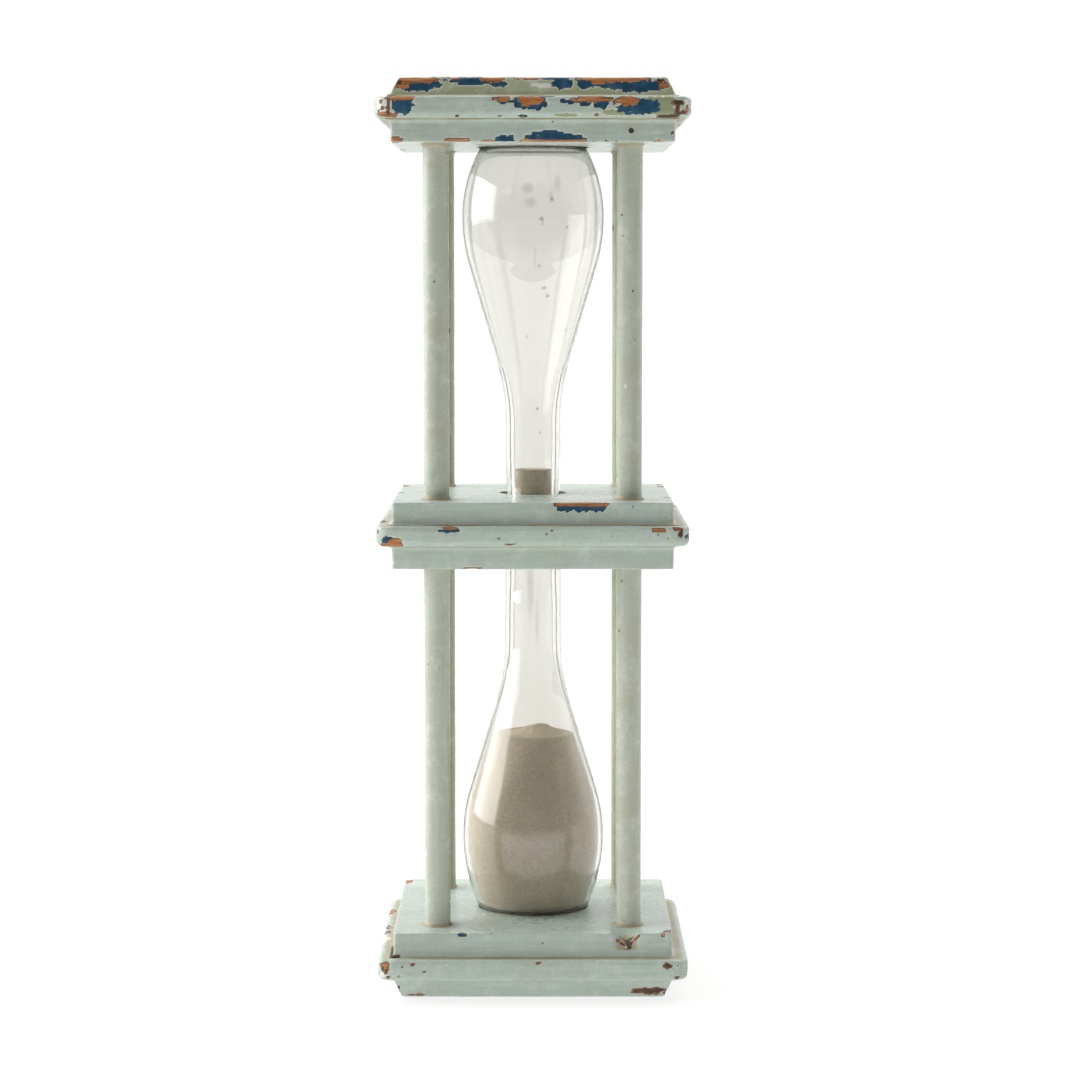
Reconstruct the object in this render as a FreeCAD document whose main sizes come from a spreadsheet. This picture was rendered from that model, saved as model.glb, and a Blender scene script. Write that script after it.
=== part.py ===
import FreeCAD, Part
import math
import os

import Sketcher

# An hourglass: two glass bulbs in a painted wooden frame of nine square boards and four posts.
# Millimetres, +Z up, origin in the middle of the foot's underside. The object stands on either end.
#
# The boards form three stages: the base (foot, wide, seat), the middle (lower, wide, upper) and
# the top (seat, wide, cap). The posts are dowels that run from the base's wide board, through the
# middle stage, to the top's wide board. Each bulb's closed end rests on a felt pad in a round
# recess of a seat board. The two necks meet inside the middle stage, on a disc with a small hole.

# alias, size, what it is
SIZES = [
    ("narrow_width", 101.6, "side of the narrow boards"),
    ("wide_width", 113.0, "side of the wide boards"),
    ("cap_face_width", 96.6, "side of the outer face of the cap and the foot"),
    ("narrow_corner", 1.2, "radius of the narrow boards' upright corners"),
    ("wide_corner", 4.2, "radius of the wide boards' upright corners"),
    ("foot_thickness", 7.6, "foot board"),
    ("base_wide_thickness", 8.1, "wide board of the base"),
    ("base_seat_thickness", 8.7, "seat board of the base"),
    ("lower_bay", 132.7, "clear height round the lower bulb"),
    ("middle_lower_thickness", 8.4, "lower board of the middle stage"),
    ("middle_wide_thickness", 7.7, "wide board of the middle stage"),
    ("middle_upper_thickness", 8.1, "upper board of the middle stage"),
    ("upper_bay", 128.4, "clear height round the upper bulb"),
    ("top_seat_thickness", 8.1, "seat board of the top"),
    ("top_wide_thickness", 8.1, "wide board of the top"),
    ("cap_thickness", 7.1, "cap board"),
    ("post_diameter", 9.5, "dowel posts"),
    ("post_hole", 9.6, "holes for the posts"),
    ("post_spacing", 70.0, "from post to post, both ways"),
    ("neck_hole", 24.9, "hole through the middle stage"),
    ("recess_diameter", 41.6, "recess for a bulb's end"),
    ("recess_depth", 2.5, "depth of the recess"),
    ("pad_diameter", 40.0, "felt pad under a bulb's end"),
    ("pad_thickness", 0.8, "thickness of the felt pad"),
    ("brad_diameter", 1.6, "shank of a brad"),
    ("brad_head", 1.9, "head of a brad"),
    ("brad_head_length", 1.0, "length of a brad's head"),
    ("brad_point_length", 1.5, "length of a brad's point"),
    ("brad_length", 15.0, "brad from head to point"),
    ("brad_set", 0.8, "how deep a brad's head is set under the surface"),
    ("brad_gap", 0.05, "how much wider than the brad its hole is"),
    ("disc_thickness", 1.0, "orifice disc"),
    ("disc_diameter", 17.0, "orifice disc"),
    ("orifice_diameter", 1.3, "hole that meters the sand"),
    ("spigot_radius", 8.7, "outside of a neck's end, inside the wax"),
    ("spigot_length", 5.0, "straight end of a neck"),
    ("bore_radius", 7.1, "bore of a neck near the disc"),
    ("bore_length", 22.0, "straight bore near the disc"),
    ("seal_radius", 10.3, "outside of the wax sleeve"),
    ("cord_thickness", 1.2, "waxed cord of the binding"),
    ("sand_gap", 0.3, "from the sand to the glass"),
    ("column_height", 18.7, "sand in the upper neck, without its top layer"),
    ("surface_thickness", 2.0, "top layer of the sand in the upper neck"),
    ("surface_dip", 0.5, "hollow in the middle of that layer"),
    ("heap_top", 85.5, "height of the heap under its crown, above the foot's underside"),
    ("crown_rim", 3.4, "height of the crown at its rim"),
    ("crown_peak", 8.6, "height of the crown in the middle"),
    ("crown_radius", 14.6, "radius of the crown, clear of the glass when it has risen"),
]

# The outline of each bulb, from the disc (height 0) to its closed end, as
# (alias, radius, height, radius of the arc that leads to the next point or 0 for a straight line).
# A positive arc bulges away from the axis and a negative one is hollow.
UPPER_OUTSIDE = [
    ("plate", 9.9, 11.6, 0),
    ("neck", 10.45, 24.3, 0),
    ("flare", 10.45, 39.5, -72.0),
    ("cone", 13.3, 59.8, 0),
    ("shoulder", 23.7, 96.2, 66.5),
    ("belly", 26.3, 114.5, 52.6),
    ("heel", 19.3, 140.7, 1.6),
    ("end", 17.82, 141.7, 0),
]
UPPER_INSIDE = [
    ("neck", 7.3, 30.0, 0),
    ("flare", 7.3, 38.0, -60.0),
    ("cone", 11.4, 59.8, 0),
    ("shoulder", 22.0, 96.2, 60.0),
    ("belly", 24.6, 114.5, 48.0),
    ("heel", 18.6, 132.0, 4.2),
    ("end", 15.0, 134.8, 0),
]
LOWER_OUTSIDE = [
    ("plate", 10.3, 11.6, 0),
    ("neck", 10.6, 23.0, 0),
    ("flare", 10.7, 44.7, -72.0),
    ("cone", 13.6, 64.7, 0),
    ("shoulder", 24.1, 100.4, 57.4),
    ("belly", 26.4, 116.5, 66.0),
    ("heel", 20.1, 145.2, 1.4),
    ("end", 18.84, 146.0, 0),
]
LOWER_INSIDE = [
    ("neck", 7.5, 30.0, 0),
    ("flare", 7.5, 41.0, -60.0),
    ("cone", 11.8, 64.7, 0),
    ("shoulder", 22.5, 100.4, 53.0),
    ("belly", 24.8, 116.5, 60.0),
    ("heel", 20.3, 140.6, 4.0),
    ("end", 16.6, 144.4, 0),
]

doc = FreeCAD.newDocument("Hourglass")
sheet = doc.addObject("Spreadsheet::Sheet", "sizes")
subparts = []


def fill_sheet():
    """Writes every driving size into the sheet, one row each, and gives it its alias."""
    rows = list(SIZES)
    outlines = {"upper_outside": UPPER_OUTSIDE, "upper_inside": UPPER_INSIDE,
                "lower_outside": LOWER_OUTSIDE, "lower_inside": LOWER_INSIDE}
    for side, outline in outlines.items():
        for name, radius, height, bend in outline:
            words = side.replace("_", " ") + " of the glass, " + name
            rows.append((f"{side}_{name}_radius", radius, words + ", radius"))
            rows.append((f"{side}_{name}_height", height, words + ", from the disc"))
            if bend:
                rows.append((f"{side}_{name}_bend", abs(bend), words + ", arc to the next point"))
    for row, (alias, size, meaning) in enumerate(rows, start=1):
        sheet.set(f"A{row}", meaning)
        sheet.set(f"B{row}", str(size))
        sheet.setAlias(f"B{row}", alias)
    doc.recompute()


def amount(expression):
    """The number that an expression over the sheet's sizes gives now."""
    return float(sheet.evalExpression(expression))


def total(*aliases):
    """The expression for the sum of some sizes."""
    return " + ".join("sizes." + alias for alias in aliases) or "0"


BASE = ("foot_thickness", "base_wide_thickness", "base_seat_thickness")
TO_MIDDLE = BASE + ("lower_bay",)
MIDDLE = ("middle_lower_thickness", "middle_wide_thickness", "middle_upper_thickness")
TO_TOP = TO_MIDDLE + MIDDLE + ("upper_bay",)

BASE_TOP = total(*BASE)
MIDDLE_CENTRE = f"{total(*TO_MIDDLE)} + ({total(*MIDDLE)}) / 2"
UPPER_NECK_END = f"{MIDDLE_CENTRE} + sizes.disc_thickness / 2"
LOWER_NECK_END = f"{MIDDLE_CENTRE} - sizes.disc_thickness / 2"
TOP_UNDERSIDE = total(*TO_TOP)


def new_body(label, height="0", turn=None):
    """A body at a height of the stack. turn is the rotation of its placement, if it has one."""
    body = doc.addObject("PartDesign::Body", label)
    body.Label = label
    body.Placement = FreeCAD.Placement(FreeCAD.Vector(0, 0, 0), turn or FreeCAD.Rotation())
    body.setExpression("Placement.Base.z", height)
    subparts.append(body)
    return body


def new_sketch(body, name, plane_role="XY_Plane", offset=None):
    """A sketch on one of the body's own origin planes, moved along its normal by offset."""
    sketch = body.newObject("Sketcher::SketchObject", name)
    plane = next(item for item in body.Origin.OriginFeatures if item.Role == plane_role)
    sketch.AttachmentSupport = [(plane, "")]
    sketch.MapMode = "FlatFace"
    if offset:
        sketch.setExpression("AttachmentOffset.Base.z", offset)
    return sketch


def bind(sketch, expression, *constraint):
    """Adds a dimension to the sketch and binds it to an expression over the sheet."""
    index = sketch.addConstraint(Sketcher.Constraint(*constraint, amount(expression)))
    sketch.setExpression(f"Constraints[{index}]", expression)


def add_square(sketch, width):
    """A square centred on the sketch's origin."""
    half = amount(width) / 2
    corners = [FreeCAD.Vector(x * half, y * half, 0) for x, y in ((-1, -1), (1, -1), (1, 1), (-1, 1))]
    for side in range(4):
        sketch.addGeometry(Part.LineSegment(corners[side], corners[(side + 1) % 4]))
    for side in range(4):
        sketch.addConstraint(Sketcher.Constraint("Coincident", side, 2, (side + 1) % 4, 1))
        direction = "Horizontal" if side % 2 == 0 else "Vertical"
        sketch.addConstraint(Sketcher.Constraint(direction, side))
    sketch.addConstraint(Sketcher.Constraint("Symmetric", 0, 1, 1, 2, -1, 1))
    bind(sketch, width, "DistanceX", 0, 1, 0, 2)
    bind(sketch, width, "DistanceY", 1, 1, 1, 2)


def pin_point(sketch, curve, end, across, up):
    """Fixes one end of a curve, or a circle's centre, at two distances from the sketch's origin."""
    for direction, expression, axis in (("DistanceX", across, -2), ("DistanceY", up, -1)):
        if abs(amount(expression)) < 1e-9:
            sketch.addConstraint(Sketcher.Constraint("PointOnObject", curve, end, axis))
        else:
            bind(sketch, expression, direction, -1, 1, curve, end)


def add_circle(sketch, diameter, across="0", up="0"):
    """A circle with its centre at two distances from the sketch's origin."""
    centre = FreeCAD.Vector(amount(across), amount(up), 0)
    circle = Part.Circle(centre, FreeCAD.Vector(0, 0, 1), amount(diameter) / 2)
    curve = sketch.addGeometry(circle)
    bind(sketch, diameter, "Diameter", curve)
    pin_point(sketch, curve, 3, across, up)


def arc_between(start, end, bend):
    """The short arc from start to end. A positive bend has its centre to the left of the way."""
    chord = end - start
    middle = (start + end) / 2
    left = FreeCAD.Vector(-chord.y, chord.x, 0).normalize()
    rise = math.sqrt(bend ** 2 - (chord.Length / 2) ** 2)
    centre = middle + left * math.copysign(rise, bend)
    first = math.atan2(start.y - centre.y, start.x - centre.x)
    last = math.atan2(end.y - centre.y, end.x - centre.x)
    circle = Part.Circle(centre, FreeCAD.Vector(0, 0, 1), abs(bend))
    if bend > 0:
        return Part.ArcOfCircle(circle, first, last)
    return Part.ArcOfCircle(circle, last, first)


def add_outline(sketch, points):
    """A closed outline through points of (across, up, bend, sign): bend is the expression for the
    radius of the arc to the next point, or None for a straight line, and sign is +1 where the
    arc's centre lies to the left of the way and -1 where it lies to the right."""
    places = [FreeCAD.Vector(amount(across), amount(up), 0) for across, up, _, _ in points]
    ends = []
    for index, (_, _, bend, sign) in enumerate(points):
        start = places[index]
        end = places[(index + 1) % len(points)]
        if bend is None:
            curve = sketch.addGeometry(Part.LineSegment(start, end))
        else:
            curve = sketch.addGeometry(arc_between(start, end, sign * amount(bend)))
        ends.append((curve, 1, 2) if bend is None or sign > 0 else (curve, 2, 1))
    for index in range(len(points)):
        curve, _, last = ends[index]
        following, first, _ = ends[(index + 1) % len(points)]
        sketch.addConstraint(Sketcher.Constraint("Coincident", curve, last, following, first))
    for (curve, first, _), (across, up, bend, _) in zip(ends, points):
        pin_point(sketch, curve, first, across, up)
        if bend is not None:
            bind(sketch, bend, "Radius", curve)


def pad(body, sketch, length, name="Pad"):
    """Raises the sketch to a length."""
    feature = body.newObject("PartDesign::Pad", name)
    feature.Profile = sketch
    feature.setExpression("Length", length)
    sketch.Visibility = False
    return feature


def pocket(body, sketch, depth, name, reverse=False):
    """Cuts the sketch into the body and makes sure that it has taken something away."""
    doc.recompute()
    before = body.Shape.Volume
    feature = body.newObject("PartDesign::Pocket", name)
    feature.Profile = sketch
    feature.Reversed = reverse
    feature.setExpression("Length", depth)
    doc.recompute()
    if body.Shape.Volume > before - 0.5:
        raise RuntimeError(f"{name} of {body.Label} cuts nothing")
    return feature


def revolve(body, points):
    """Turns a closed outline of (radius, height) points into a solid of revolution about Z."""
    sketch = new_sketch(body, "Outline", "XZ_Plane")
    add_outline(sketch, points)
    feature = body.newObject("PartDesign::Revolution", "Turned")
    feature.Profile = sketch
    feature.ReferenceAxis = (sketch, ["V_Axis"])
    feature.Angle = 360.0
    doc.recompute()
    return feature


def round_corners(body, feature, radius):
    """Rounds the upright edges of a board."""
    doc.recompute()
    upright = []
    for index, edge in enumerate(feature.Shape.Edges, start=1):
        low, high = edge.Vertexes[0].Point, edge.Vertexes[-1].Point
        if abs(high.z - low.z) > 1.0:
            upright.append(f"Edge{index}")
    if len(upright) != 4:
        raise RuntimeError(f"{body.Label} has {len(upright)} upright edges")
    fillet = body.newObject("PartDesign::Fillet", "RoundedCorners")
    fillet.Base = (feature, upright)
    fillet.setExpression("Radius", radius)


def board(label, below, thickness, width, corner):
    """A square board that lies on the sizes named in below."""
    body = new_body(label, total(*below))
    sketch = new_sketch(body, "Square")
    add_square(sketch, "sizes." + width)
    round_corners(body, pad(body, sketch, "sizes." + thickness), "sizes." + corner)
    return body


def moulded_board(label, height, turn, thickness):
    """The cap or the foot: a board that narrows from the narrow width to its outer face."""
    body = new_body(label, height, turn)
    sketch = new_sketch(body, "Square")
    add_square(sketch, "sizes.narrow_width")
    feature = pad(body, sketch, thickness)
    feature.setExpression(
        "TaperAngle", f"-atan((sizes.narrow_width - sizes.cap_face_width) / 2 / ({thickness}))"
    )
    round_corners(body, feature, "sizes.narrow_corner")


def post_holes(body, depth):
    """The four holes for the posts, from the board's underside up."""
    sketch = new_sketch(body, "PostHoles")
    for x in (-1, 1):
        for y in (-1, 1):
            add_circle(
                sketch, "sizes.post_hole",
                f"{x} * sizes.post_spacing / 2", f"{y} * sizes.post_spacing / 2",
            )
    pocket(body, sketch, depth, "PostHolesCut", reverse=True)


def middle_hole(body, depth):
    """The hole for the glass necks."""
    sketch = new_sketch(body, "NeckHole")
    add_circle(sketch, "sizes.neck_hole")
    pocket(body, sketch, depth, "NeckHoleCut", reverse=True)


def bulb_recess(body, face, reverse):
    """The round recess for a bulb's end, cut into the face at that height of the board."""
    sketch = new_sketch(body, "Recess", offset=face)
    add_circle(sketch, "sizes.recess_diameter")
    pocket(body, sketch, "sizes.recess_depth", "RecessCut", reverse=reverse)


def brad_holes(body, height):
    """Holes for the brads, from the front and the back edge into the posts' holes."""
    edge = "sizes.narrow_width / 2"
    head_depth = "sizes.brad_set + sizes.brad_head_length"
    steps = (("Head", "sizes.brad_head", head_depth),
             ("Shank", "sizes.brad_diameter", f"{edge} - sizes.post_spacing / 2"))
    for side, offset, reverse in (("Front", edge, False), ("Back", "-" + edge, True)):
        for step, diameter, depth in steps:
            sketch = new_sketch(body, side + step, "XZ_Plane", offset)
            for x in (-1, 1):
                add_circle(
                    sketch, f"{diameter} + 2 * sizes.brad_gap", f"{x} * sizes.post_spacing / 2", height
                )
            pocket(body, sketch, depth, side + step + "Cut", reverse)


def build_boards():
    """The nine boards, from the foot up to the cap."""
    over = FreeCAD.Rotation(FreeCAD.Vector(1, 0, 0), 180)
    moulded_board("base_foot_board", "sizes.foot_thickness", over, "sizes.foot_thickness")
    board("base_wide_board", BASE[:1], "base_wide_thickness", "wide_width", "wide_corner")
    seat = board("base_seat_board", BASE[:2], "base_seat_thickness", "narrow_width", "narrow_corner")
    post_holes(seat, "sizes.base_seat_thickness")
    bulb_recess(seat, "sizes.base_seat_thickness", False)
    brad_holes(seat, "sizes.base_seat_thickness / 2")

    below = list(TO_MIDDLE)
    for label, thickness, width, corner in (
        ("middle_lower_board", "middle_lower_thickness", "narrow_width", "narrow_corner"),
        ("middle_wide_board", "middle_wide_thickness", "wide_width", "wide_corner"),
        ("middle_upper_board", "middle_upper_thickness", "narrow_width", "narrow_corner"),
    ):
        stage = board(label, below, thickness, width, corner)
        post_holes(stage, "sizes." + thickness)
        middle_hole(stage, "sizes." + thickness)
        below.append(thickness)

    below = list(TO_TOP)
    seat = board("top_seat_board", below, "top_seat_thickness", "narrow_width", "narrow_corner")
    post_holes(seat, "sizes.top_seat_thickness")
    bulb_recess(seat, None, True)
    brad_holes(seat, "sizes.top_seat_thickness / 2")
    below.append("top_seat_thickness")
    board("top_wide_board", below, "top_wide_thickness", "wide_width", "wide_corner")
    below.append("top_wide_thickness")
    moulded_board("top_cap_board", total(*below), None, "sizes.cap_thickness")


def build_posts():
    """Four dowels between the two outer wide boards, each drilled for a brad near both ends."""
    length = total("base_seat_thickness", "lower_bay", *MIDDLE, "upper_bay", "top_seat_thickness")
    for side_y, y in (("front", -1), ("back", 1)):
        for side_x, x in (("left", -1), ("right", 1)):
            body = new_body(f"{side_y}_{side_x}_post", total(*BASE[:2]))
            body.setExpression("Placement.Base.x", f"{x} * sizes.post_spacing / 2")
            body.setExpression("Placement.Base.y", f"{y} * sizes.post_spacing / 2")
            sketch = new_sketch(body, "Round")
            add_circle(sketch, "sizes.post_diameter")
            pad(body, sketch, length, "Dowel")
            drilled = new_sketch(body, "BradHoles", "XZ_Plane")
            for height in ("sizes.base_seat_thickness / 2",
                           f"{length} - sizes.top_seat_thickness / 2"):
                add_circle(drilled, "sizes.brad_diameter + 2 * sizes.brad_gap", "0", height)
            pocket(body, drilled, "sizes.post_diameter", "BradHolesCut", reverse=y < 0)


def brad(name, x, y, height):
    """One brad that enters the edge at side y (-1 front, 1 back) and points at the post's middle."""
    inwards = FreeCAD.Rotation(FreeCAD.Vector(1, 0, 0), 90 * y)
    face = "(sizes.narrow_width / 2 - sizes.brad_set)"
    shank_end = "(sizes.brad_length - sizes.brad_point_length)"
    stretches = []
    for part, kind, start, size in (
        ("head", "Part::Cylinder", "0", "sizes.brad_head_length"),
        ("shank", "Part::Cylinder", "0", shank_end),
        ("point", "Part::Cone", shank_end, "sizes.brad_point_length"),
    ):
        piece = doc.addObject(kind, f"{name}_{part}")
        piece.Placement = FreeCAD.Placement(FreeCAD.Vector(0, 0, 0), inwards)
        piece.setExpression("Placement.Base.x", f"{x} * sizes.post_spacing / 2")
        piece.setExpression("Placement.Base.y", f"{y} * ({face} - {start})")
        piece.setExpression("Placement.Base.z", height)
        piece.setExpression("Height", size)
        if part == "point":
            piece.setExpression("Radius1", "sizes.brad_diameter / 2")
            piece.Radius2 = 0.1
        else:
            width = "sizes.brad_head" if part == "head" else "sizes.brad_diameter"
            piece.setExpression("Radius", width + " / 2")
        stretches.append(piece)
    whole = doc.addObject("Part::MultiFuse", name)
    whole.Shapes = stretches
    whole.Refine = True
    return whole


def build_brads():
    """Two groups of four brads, through the front and back edges of the seat boards."""
    levels = (
        ("base_brads", f"{total(*BASE[:2])} + sizes.base_seat_thickness / 2"),
        ("top_brads", f"{total(*TO_TOP)} + sizes.top_seat_thickness / 2"),
    )
    for label, height in levels:
        places = [(x, y) for x in (-1, 1) for y in (-1, 1)]
        group = doc.addObject("Part::Compound", label)
        group.Links = [brad(f"{label}_{n}", x, y, height) for n, (x, y) in enumerate(places)]
        group.Label = label
        subparts.append(group)


def glass_points(side, outline, outwards):
    """The points of one side of a bulb's wall. Going outwards along the height, an arc that bulges
    away from the axis has its centre to the left of the way, and coming back, to the right."""
    points = []
    for name, _, _, bend in outline:
        alias = f"sizes.{side}_{name}"
        arc = f"{alias}_bend" if bend else None
        points.append((f"{alias}_radius", f"{alias}_height", arc, 1 if bend > 0 else -1))
    if outwards:
        return points
    # on the way back each arc belongs to the point that it comes from, and turns the other way
    arcs = [(arc, -sign) for _, _, arc, sign in points]
    arcs = [arcs[-1]] + arcs[:-1]
    return [(r, z, arc, sign) for (r, z, _, _), (arc, sign) in zip(points, arcs)][::-1]


def build_bulb(label, height, turn, names, outside, inside):
    """A bulb with its neck: spigot, thick-walled neck, flare, cone, belly and thick closed end."""
    end_outside = f"sizes.{names}_outside_end_height"
    end_inside = f"sizes.{names}_inside_end_height"
    points = [("sizes.bore_radius", "0", None, 1),
              ("sizes.spigot_radius", "0", None, 1),
              ("sizes.spigot_radius", "sizes.spigot_length", None, 1)]
    points += glass_points(f"{names}_outside", outside, True)
    points += [("0", end_outside, None, 1), ("0", end_inside, None, 1)]
    points += glass_points(f"{names}_inside", inside, False)
    points += [("sizes.bore_radius", "sizes.bore_length", None, 1)]
    revolve(new_body(label, height, turn), points)


def ring(label, height, inner, outer, tall):
    """A plain tube from a height up. inner and outer are its radii."""
    revolve(new_body(label, height), [
        (inner, "0", None, 1), (outer, "0", None, 1), (outer, tall, None, 1), (inner, tall, None, 1),
    ])


def build_neck_joint():
    """The disc between the necks, the wax sleeve round it and the cord wound over the sleeve."""
    ring("orifice_disc", LOWER_NECK_END, "sizes.orifice_diameter / 2", "sizes.disc_diameter / 2",
         "sizes.disc_thickness")
    sleeve_half = "(sizes.spigot_length - sizes.sand_gap)"
    ring("neck_wax_seal", f"{LOWER_NECK_END} - {sleeve_half}", "sizes.spigot_radius + sizes.brad_gap",
         "sizes.seal_radius", f"2 * {sleeve_half} + sizes.disc_thickness")
    turns = 7
    body = new_body("neck_binding", f"{MIDDLE_CENTRE} - {turns} / 2 * sizes.cord_thickness")
    inner = "sizes.seal_radius + sizes.brad_gap"
    # each turn of the cord shows as a half round, slightly flattened against the sleeve
    outer = f"{inner} + sizes.cord_thickness / 2"
    points = [(inner, "0", None, 1)]
    for turn in range(turns):
        points.append((outer, f"{turn} * sizes.cord_thickness", "sizes.cord_thickness * 0.51", 1))
    points.append((outer, f"{turns} * sizes.cord_thickness", None, 1))
    points.append((inner, f"{turns} * sizes.cord_thickness", None, 1))
    revolve(body, points)


def build_pads():
    """The felt pads at the bottom of the two recesses."""
    levels = (
        ("lower_seat_pad", f"{BASE_TOP} - sizes.recess_depth"),
        ("upper_seat_pad", f"{TOP_UNDERSIDE} + sizes.recess_depth - sizes.pad_thickness"),
    )
    for label, height in levels:
        body = new_body(label, height)
        sketch = new_sketch(body, "Round")
        add_circle(sketch, "sizes.pad_diameter")
        pad(body, sketch, "sizes.pad_thickness")


def build_upper_sand():
    """The sand left in the upper neck: a column on the disc, and the layer that sinks as it runs."""
    radius = "sizes.bore_radius - sizes.sand_gap"
    revolve(new_body("upper_sand_column", UPPER_NECK_END), [
        ("0", "0", None, 1), (radius, "0", None, 1),
        (radius, "sizes.column_height", None, 1), ("0", "sizes.column_height", None, 1),
    ])
    dip = "sizes.surface_thickness - sizes.surface_dip"
    revolve(new_body("upper_sand_surface", f"{UPPER_NECK_END} + sizes.column_height"), [
        ("0", "0", None, 1), (radius, "0", None, 1),
        (radius, "sizes.surface_thickness", None, 1), ("0", dip, None, 1),
    ])


def build_lower_sand():
    """The sand in the lower bulb: the heap, just inside the glass, and the crown that rises."""
    inside = glass_points("lower_inside", LOWER_INSIDE, False)
    gap = "sizes.sand_gap"
    rim_height = f"{LOWER_NECK_END} - sizes.heap_top"
    # the rim lies on the cone of the glass, between its narrow end and the shoulder
    narrow = "sizes.lower_inside_cone"
    broad = "sizes.lower_inside_shoulder"
    share = f"(({rim_height}) - {narrow}_height) / ({broad}_height - {narrow}_height)"
    rim_radius = f"{narrow}_radius + ({broad}_radius - {narrow}_radius) * {share} - {gap}"
    on_wall = [point for point in inside if amount(point[1]) > amount(rim_height)]
    points = [("0", f"{on_wall[0][1]} - {gap}", None, 1)]
    for index, (radius, height, arc, sign) in enumerate(on_wall):
        lowered = f"{height} - {gap}" if index == 0 else height
        bend = f"{arc} - {gap}" if arc else None
        points.append((f"{radius} - {gap}", lowered, bend, sign))
    points[-1] = points[-1][:2] + (None, 1)
    points += [(rim_radius, rim_height, None, 1), ("0", rim_height, None, 1)]
    over = FreeCAD.Rotation(FreeCAD.Vector(1, 0, 0), 180)
    revolve(new_body("lower_sand_heap", LOWER_NECK_END, over), points)
    peak, rim, radius = "sizes.crown_peak", "sizes.crown_rim", "sizes.crown_radius"
    # a low dome: its radius follows from its width and its rise
    rise = f"({peak} - {rim})"
    dome = f"(({radius}) ^ 2 + {rise} ^ 2) / (2 * {rise})"
    revolve(new_body("lower_sand_crown", "sizes.heap_top"), [
        ("0", "0", None, 1), (radius, "0", None, 1), (radius, rim, dome, 1), ("0", peak, None, 1),
    ])


def write_parts():
    """Checks every object of the document, then writes each sub-part to its own file."""
    doc.recompute()
    failed = [item.Label for item in doc.Objects if {"Invalid", "Error"} & set(item.State)]
    if failed:
        raise RuntimeError(f"these objects failed: {failed}")
    for item in subparts:
        if item.Shape.isNull() or not item.Shape.isValid() or not item.Shape.Solids:
            raise RuntimeError(f"{item.Label} has no valid solid")
    os.makedirs("parts", exist_ok=True)
    for item in subparts:
        item.Shape.exportStep(f"parts/{item.Label}.step")
        print(f"{item.Label}: {len(item.Shape.Solids)} solids, {item.Shape.Volume:.1f} mm3")


fill_sheet()
build_boards()
build_posts()
build_brads()
upside_down = FreeCAD.Rotation(FreeCAD.Vector(1, 0, 0), 180)
build_bulb("upper_bulb", UPPER_NECK_END, None, "upper", UPPER_OUTSIDE, UPPER_INSIDE)
build_bulb("lower_bulb", LOWER_NECK_END, upside_down, "lower", LOWER_OUTSIDE, LOWER_INSIDE)
build_neck_joint()
build_pads()
build_upper_sand()
build_lower_sand()
write_parts()
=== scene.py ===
"""An old painted hourglass: three stages of moulded boards, four posts, two glass bulbs and their sand.

Everything is in metres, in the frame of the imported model. Sizes in the tables are in millimetres.
"""

import math

import bpy
import numpy as np
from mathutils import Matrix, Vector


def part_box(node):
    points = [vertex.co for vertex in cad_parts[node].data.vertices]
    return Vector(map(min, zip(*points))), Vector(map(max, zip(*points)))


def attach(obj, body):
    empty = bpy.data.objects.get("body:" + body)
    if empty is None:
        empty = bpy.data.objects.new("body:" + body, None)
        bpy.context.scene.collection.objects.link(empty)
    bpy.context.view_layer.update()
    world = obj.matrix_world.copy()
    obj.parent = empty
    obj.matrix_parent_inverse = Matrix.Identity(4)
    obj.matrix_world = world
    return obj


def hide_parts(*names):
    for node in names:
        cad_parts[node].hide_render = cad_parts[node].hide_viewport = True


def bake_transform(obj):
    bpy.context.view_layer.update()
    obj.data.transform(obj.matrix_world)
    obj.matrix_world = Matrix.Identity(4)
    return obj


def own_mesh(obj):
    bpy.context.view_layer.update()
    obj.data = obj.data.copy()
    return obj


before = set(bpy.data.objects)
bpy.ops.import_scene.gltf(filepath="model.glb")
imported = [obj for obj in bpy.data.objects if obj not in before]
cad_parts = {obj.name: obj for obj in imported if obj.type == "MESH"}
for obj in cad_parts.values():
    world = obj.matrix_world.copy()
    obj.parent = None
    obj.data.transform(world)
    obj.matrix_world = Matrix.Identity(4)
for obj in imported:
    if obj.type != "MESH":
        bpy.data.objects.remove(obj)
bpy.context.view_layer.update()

bl_info = {
    "name": "Painted hourglass",
    "version": (1, 0, 0),
    "blender": (4, 5, 0),
    "location": "View3D > Sidebar > Hourglass",
    "description": "Builds the looks of an old painted hourglass round its packed model",
    "category": "Object",
}

MM = 0.001
POST_LOW, POST_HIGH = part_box("front_right_post")
POST_RADIUS = (POST_HIGH.x - POST_LOW.x) / 2
POST_REACH = POST_HIGH.x - POST_RADIUS  # from the axis to a post's middle, both ways
DISC_LOW, DISC_HIGH = (corner.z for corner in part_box("orifice_disc"))
SEAT_RADIUS, SEAT_DEPTH = 20.8 * MM, 2.5 * MM  # the recess that a bulb's end stands in
NECK_HOLE = 12.45 * MM  # radius of the hole for the necks
BRAD_HOLE = 0.97 * MM  # its radius
SPARE = 2 * MM  # how far a cutting shell passes the face that it opens
FILLET = 0.75 * MM  # paint in the corner between a post and a board
WORN_BAND = 44 * MM  # a board is chipped only further out than this
NOTCH_AT = 34 * MM  # the broken edge of the base's upper board

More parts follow.
